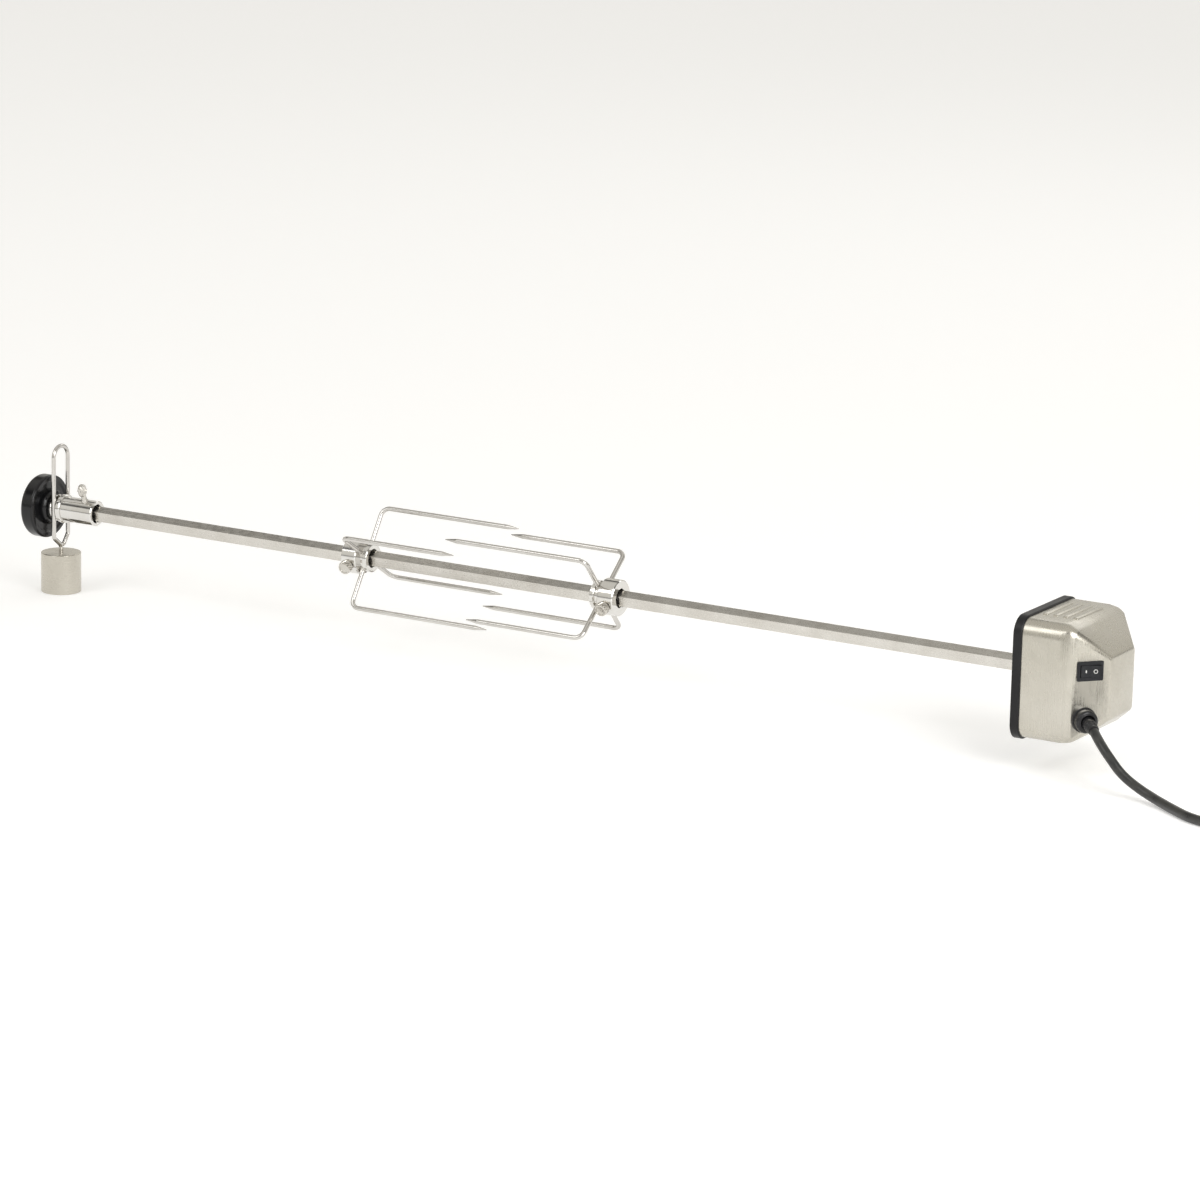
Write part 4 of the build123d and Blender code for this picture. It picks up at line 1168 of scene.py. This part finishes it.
@dataclass
class ThumbScrew(RodScrew):
    """A thumbscrew with an oval tab gripped on slanting ridges."""

    neck: float = 0.005
    tab_half_width: float = 0.00425
    tab_height: float = 0.0115
    tab_half_thickness: float = 0.0017
    ridges: int = 5

    def build(self) -> Piece:
        """Build the screw standing on the origin, then turn and move it to its place.

        Returns:
            The screw.
        """
        up = UP
        shank = self.build_shank(self.seat)
        stations = [
            (up * (self.seat - 0.0004), up, self.shank * 0.98),
            (up * (self.seat + 0.0012), up, self.shank * 0.98),
            (up * (self.seat + 0.0020), up, self.shank * 0.80),
            (up * (self.seat + self.neck), up, self.shank * 0.74),
            (up * (self.seat + self.neck + 0.0028), up, self.shank * 0.60),
        ]
        stem = Bench.sweep_ring("stem", stations, 24)
        middle = up * (self.seat + self.neck + self.tab_height / 2)
        half = Vector((self.tab_half_width, self.tab_half_thickness, self.tab_height / 2))
        tab = Bench.block("tab", middle - half, middle + half)
        Bench.round_edges(tab, self.tab_half_width * 0.97, 8, lambda place, way: abs(way.y) > 0.9)
        Bench.soften(tab, 0.0007, 3)
        grips = []
        for index in range(self.ridges):
            shift = (index - (self.ridges - 1) / 2) * 0.0019
            reach = math.sqrt(max(0.0, 0.0046**2 - shift**2)) * 0.86
            for side in (1, -1):
                slant = Vector((0.62, 0, 0.78)).normalized()
                across = Vector((0.78, 0, -0.62)).normalized()
                start = middle + across * shift - slant * reach
                start += Vector((0, side * (self.tab_half_thickness - 0.0001), 0))
                ridge = Bench.drum(f"ridge_{index}_{side + 1}", start, slant, 0.0005, 2 * reach, 10)
                Bench.round_edges(ridge, 0.0003, 2, lambda _, way, s=slant: abs(way.dot(s)) < 0.1)
                grips.append(ridge)
        screw = Bench.join(self.name, [tab, stem, shank, *grips])
        outward = spoke(self.angle)
        stand = Matrix((outward.cross(OUT), -OUT, outward)).transposed().to_4x4()
        if stand.determinant() < 0:
            stand = Matrix((outward.cross(OUT), OUT, outward)).transposed().to_4x4()
        return self.place(screw, stand)


@dataclass
class KnurledScrew(RodScrew):
    """A fork's screw, with a round head and slanting knurls."""

    gap: float = 0.0006
    radius: float = 0.0056
    height: float = 0.0065
    knurls: int = 18
    slant: float = 0.5

    def build(self) -> Piece:
        """Build the screw standing on the origin, then turn and move it to its place.

        Returns:
            The screw.
        """
        up = UP
        low = self.seat + self.gap
        shank = self.build_shank(low + 0.0004)
        core = self.radius - 0.0005
        head = Bench.drum("head", up * low, up, core, self.height, 48)
        top = low + self.height
        Bench.choose_faces(head, lambda middle, normal: normal.z > 0.9)
        bpy.ops.mesh.inset(thickness=0.0014)
        bpy.ops.mesh.extrude_region_move(TRANSFORM_OT_translate={"value": (0, 0, -0.0007)})
        Bench.leave()
        Bench.soften(head, 0.0004, 2, 40.0)
        parts = [head, shank]
        for index in range(self.knurls):
            turn = 2 * math.pi * index / self.knurls
            outward = Vector((math.cos(turn), math.sin(turn), 0))
            across = Vector((-math.sin(turn), math.cos(turn), 0))
            way = (up + across * self.slant).normalized()
            reach = (self.height - 0.0016) / way.z
            start = outward * (core - 0.0001) - way * reach / 2 + up * (low + self.height / 2)
            knurl = Bench.drum(f"knurl_{index}", start, way, 0.00055, reach, 8)
            Bench.round_edges(knurl, 0.0003, 1, lambda place, along, w=way: abs(along.dot(w)) < 0.1)
            parts.append(knurl)
        screw = Bench.join(self.name, parts)
        turn = UP.rotation_difference(spoke(self.angle)).to_matrix().to_4x4()
        return self.place(screw, turn)


@dataclass
class LoopWeld:
    """The weld that joins the loop's free end to its stem."""

    shop: PaintShop
    body: str = "weight"
    top: float = -0.039
    wire: float = 0.0038

    def build(self) -> Piece:
        """Build the weld.

        Returns:
            The weld.
        """
        low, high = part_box("weight_loop")
        x = (low.x + high.x) / 2
        start = Vector((x, -0.0002, self.top + 0.0064))
        end = Vector((x, 0.0046, self.top + 0.0062))
        way = (end - start).normalized()
        stations = []
        for step in range(9):
            t = step / 8
            radius = self.wire * (0.16 + 0.34 * math.sin(math.pi * t) ** 0.5)
            stations.append((start.lerp(end, t), way, radius))
        weld = Bench.finish(Bench.sweep_ring("loop_weld", stations, 18), 60.0)
        return self.shop.dress(weld, "screw_steel", self.body)


@dataclass
class ForkWelds:
    """The weld beads at the feet of a fork's four tines."""

    shop: PaintShop
    name: str
    body: str
    along: float
    first_angle: float
    neck: float = 0.0105
    wire: float = 0.002

    def build(self) -> Piece:
        """Build the four beads.

        Returns:
            The beads as one piece.
        """
        beads = []
        for turn in range(4):
            outward = spoke(self.first_angle + 90 * turn)
            foot = Vector((self.along, 0, 0)) + outward * (self.neck - 0.0006)
            stations = [
                (foot, outward, self.wire + 0.0010),
                (foot + outward * 0.0007, outward, self.wire + 0.0009),
                (foot + outward * 0.0013, outward, self.wire + 0.0004),
                (foot + outward * 0.0018, outward, self.wire + 0.0001),
            ]
            beads.append(Bench.sweep_ring(f"bead_{turn}", stations, 20))
        weld = Bench.finish(Bench.join(self.name, beads), 60.0)
        return self.shop.dress(weld, "screw_steel", self.body)


# ------------------------------------------------------------------ studio


@dataclass
class Studio:
    """A wide white floor, soft light and a long-lens camera."""

    shop: PaintShop
    target: Vector = at(-0.45, 0, 0)
    azimuth: float = 30.78
    elevation: float = 13.59
    roll: float = 1.24
    distance: float = 4.0
    lens: float = 146.52
    aim_right: float = 0.0450
    aim_up: float = -0.0114
    floor_glow: float = 0.3
    floor_size: float = 80.0
    bands: tuple[tuple[float, float], ...] = (
        (0.05, 0.30), (0.14, 0.95), (0.52, 1.05), (0.60, 0.12), (0.68, 0.16), (0.78, 0.9),
    )

    def build_floor(self) -> Piece:
        """The floor, a wide flat sheet that glows a little."""
        Bench.clear()
        bpy.ops.mesh.primitive_plane_add(size=self.floor_size, location=(0, 0, FLOOR_Z))
        floor = Bench.settle("studio_floor")
        self.shop.coat(floor, "floor_paper")
        nodes = floor.data.materials[0].node_tree.nodes
        shader = next(n for n in nodes if n.type == "BSDF_PRINCIPLED")
        shader.inputs["Emission Color"].default_value = (1.0, 1.0, 1.0, 1.0)
        shader.inputs["Emission Strength"].default_value = self.floor_glow
        return floor

    def build_camera(self) -> None:
        """The camera, at its bearing, height and roll."""
        turn, rise, roll = (math.radians(a) for a in (self.azimuth, self.elevation, self.roll))
        flat = math.cos(rise)
        back = Vector((math.sin(turn) * flat, -math.cos(turn) * flat, math.sin(rise)))
        level = Vector((math.cos(turn), math.sin(turn), 0))
        upward = back.cross(level)
        right = level * math.cos(roll) + upward * math.sin(roll)
        up = upward * math.cos(roll) - level * math.sin(roll)
        aim = self.target + right * self.aim_right + up * self.aim_up
        place = aim + back * self.distance
        made = bpy.data.cameras.new("view_camera")
        made.lens = self.lens
        made.sensor_width = 36.0
        made.clip_end = 60.0
        camera = bpy.data.objects.new("view_camera", made)
        camera.matrix_world = Matrix(
            ((right.x, up.x, back.x, place.x), (right.y, up.y, back.y, place.y),
             (right.z, up.z, back.z, place.z), (0, 0, 0, 1))
        )
        bpy.context.collection.objects.link(camera)
        bpy.context.scene.camera = camera
        bpy.context.scene.view_settings.view_transform = "Standard"

    def build_lights(self) -> None:
        """Four soft panels, and a surround in bands from the horizon upwards."""
        for name, place, aim, size, power in (
            ("key_panel", (-1.6, -2.6, 2.6), (-0.4, 0, 0), (2.2, 1.6), 26.0),
            ("side_panel", (2.4, -1.6, 1.0), (0.05, 0, 0), (1.4, 1.2), 12.0),
            ("back_panel", (-0.2, 2.6, 2.2), (-0.4, 0, 0), (2.6, 1.0), 10.0),
            ("floor_panel", (1.3, -0.75, 1.0), (0.75, -0.45, FLOOR_Z), (0.9, 0.9), 14.0),
        ):
            light = bpy.data.lights.new(name, "AREA")
            light.shape = "RECTANGLE"
            light.size, light.size_y = size
            light.energy = power
            holder = bpy.data.objects.new(name, light)
            holder.location = place
            holder.rotation_mode = "QUATERNION"
            holder.rotation_quaternion = (Vector(aim) - Vector(place)).to_track_quat("-Z", "Y")
            bpy.context.collection.objects.link(holder)
        world = bpy.data.worlds.new("studio_surround")
        bpy.context.scene.world = world
        world.use_nodes = True
        tree = world.node_tree
        tree.nodes.clear()
        place = tree.nodes.new("ShaderNodeTexCoord")
        parts = tree.nodes.new("ShaderNodeSeparateXYZ")
        ramp = tree.nodes.new("ShaderNodeValToRGB")
        shine = tree.nodes.new("ShaderNodeBackground")
        end = tree.nodes.new("ShaderNodeOutputWorld")
        tree.links.new(place.outputs["Generated"], parts.inputs[0])
        tree.links.new(parts.outputs["Z"], ramp.inputs[0])
        tree.links.new(ramp.outputs[0], shine.inputs["Color"])
        tree.links.new(shine.outputs[0], end.inputs[0])
        stops = ramp.color_ramp.elements
        stops[0].position, stops[0].color = 0.0, (1.0, 1.0, 1.0, 1)
        stops[1].position, stops[1].color = 1.0, (1.0, 0.97, 0.91, 1)
        for position, level in self.bands:
            stops.new(position).color = (level, level * 0.975, level * 0.91, 1)
        shine.inputs["Strength"].default_value = 0.78


def report(pieces: list[Piece]) -> None:
    """Log each piece with its size in millimetres."""
    for piece in pieces:
        size = tuple(round(1000 * s, 1) for s in piece.dimensions)
        log.info("built %s, %s mm", piece.name, size)


def main() -> None:
    """Build and dress every sub-assembly, then the studio, and note the sizes."""
    logging.basicConfig(level=logging.INFO, format="%(name)s: %(message)s")
    shop = PaintShop()
    shop.coat_nodes()
    studio = Studio(shop)
    studio.build_camera()
    studio.build_floor()
    studio.build_lights()
    report(MainsLead(shop).build())
    report(CordEntry(shop).build())
    report(MotorHousing(shop).build())
    report(SwitchMarks(shop).build())
    screws = (
        ThumbScrew(
            shop, "handle_thumb_tab", "collar_thumbscrew", "handle_screw", -0.916, 110.0,
            0.003, 0.011,
        ),
        KnurledScrew(
            shop, "left_fork_knurled_screw", "left_fork_thumbscrew", "left_fork_screw", -0.63475
        ),
        KnurledScrew(
            shop, "right_fork_knurled_screw", "right_fork_thumbscrew", "right_fork_screw", -0.38475
        ),
    )
    report([screw.build() for screw in screws])
    report([LoopWeld(shop).build()])
    report([
        ForkWelds(shop, "left_fork_welds", "left_fork", -0.625, 58.0).build(),
        ForkWelds(shop, "right_fork_welds", "right_fork", -0.3945, 41.0).build(),
    ])
    Bench.clear()


if __name__ == "__main__":
    main()
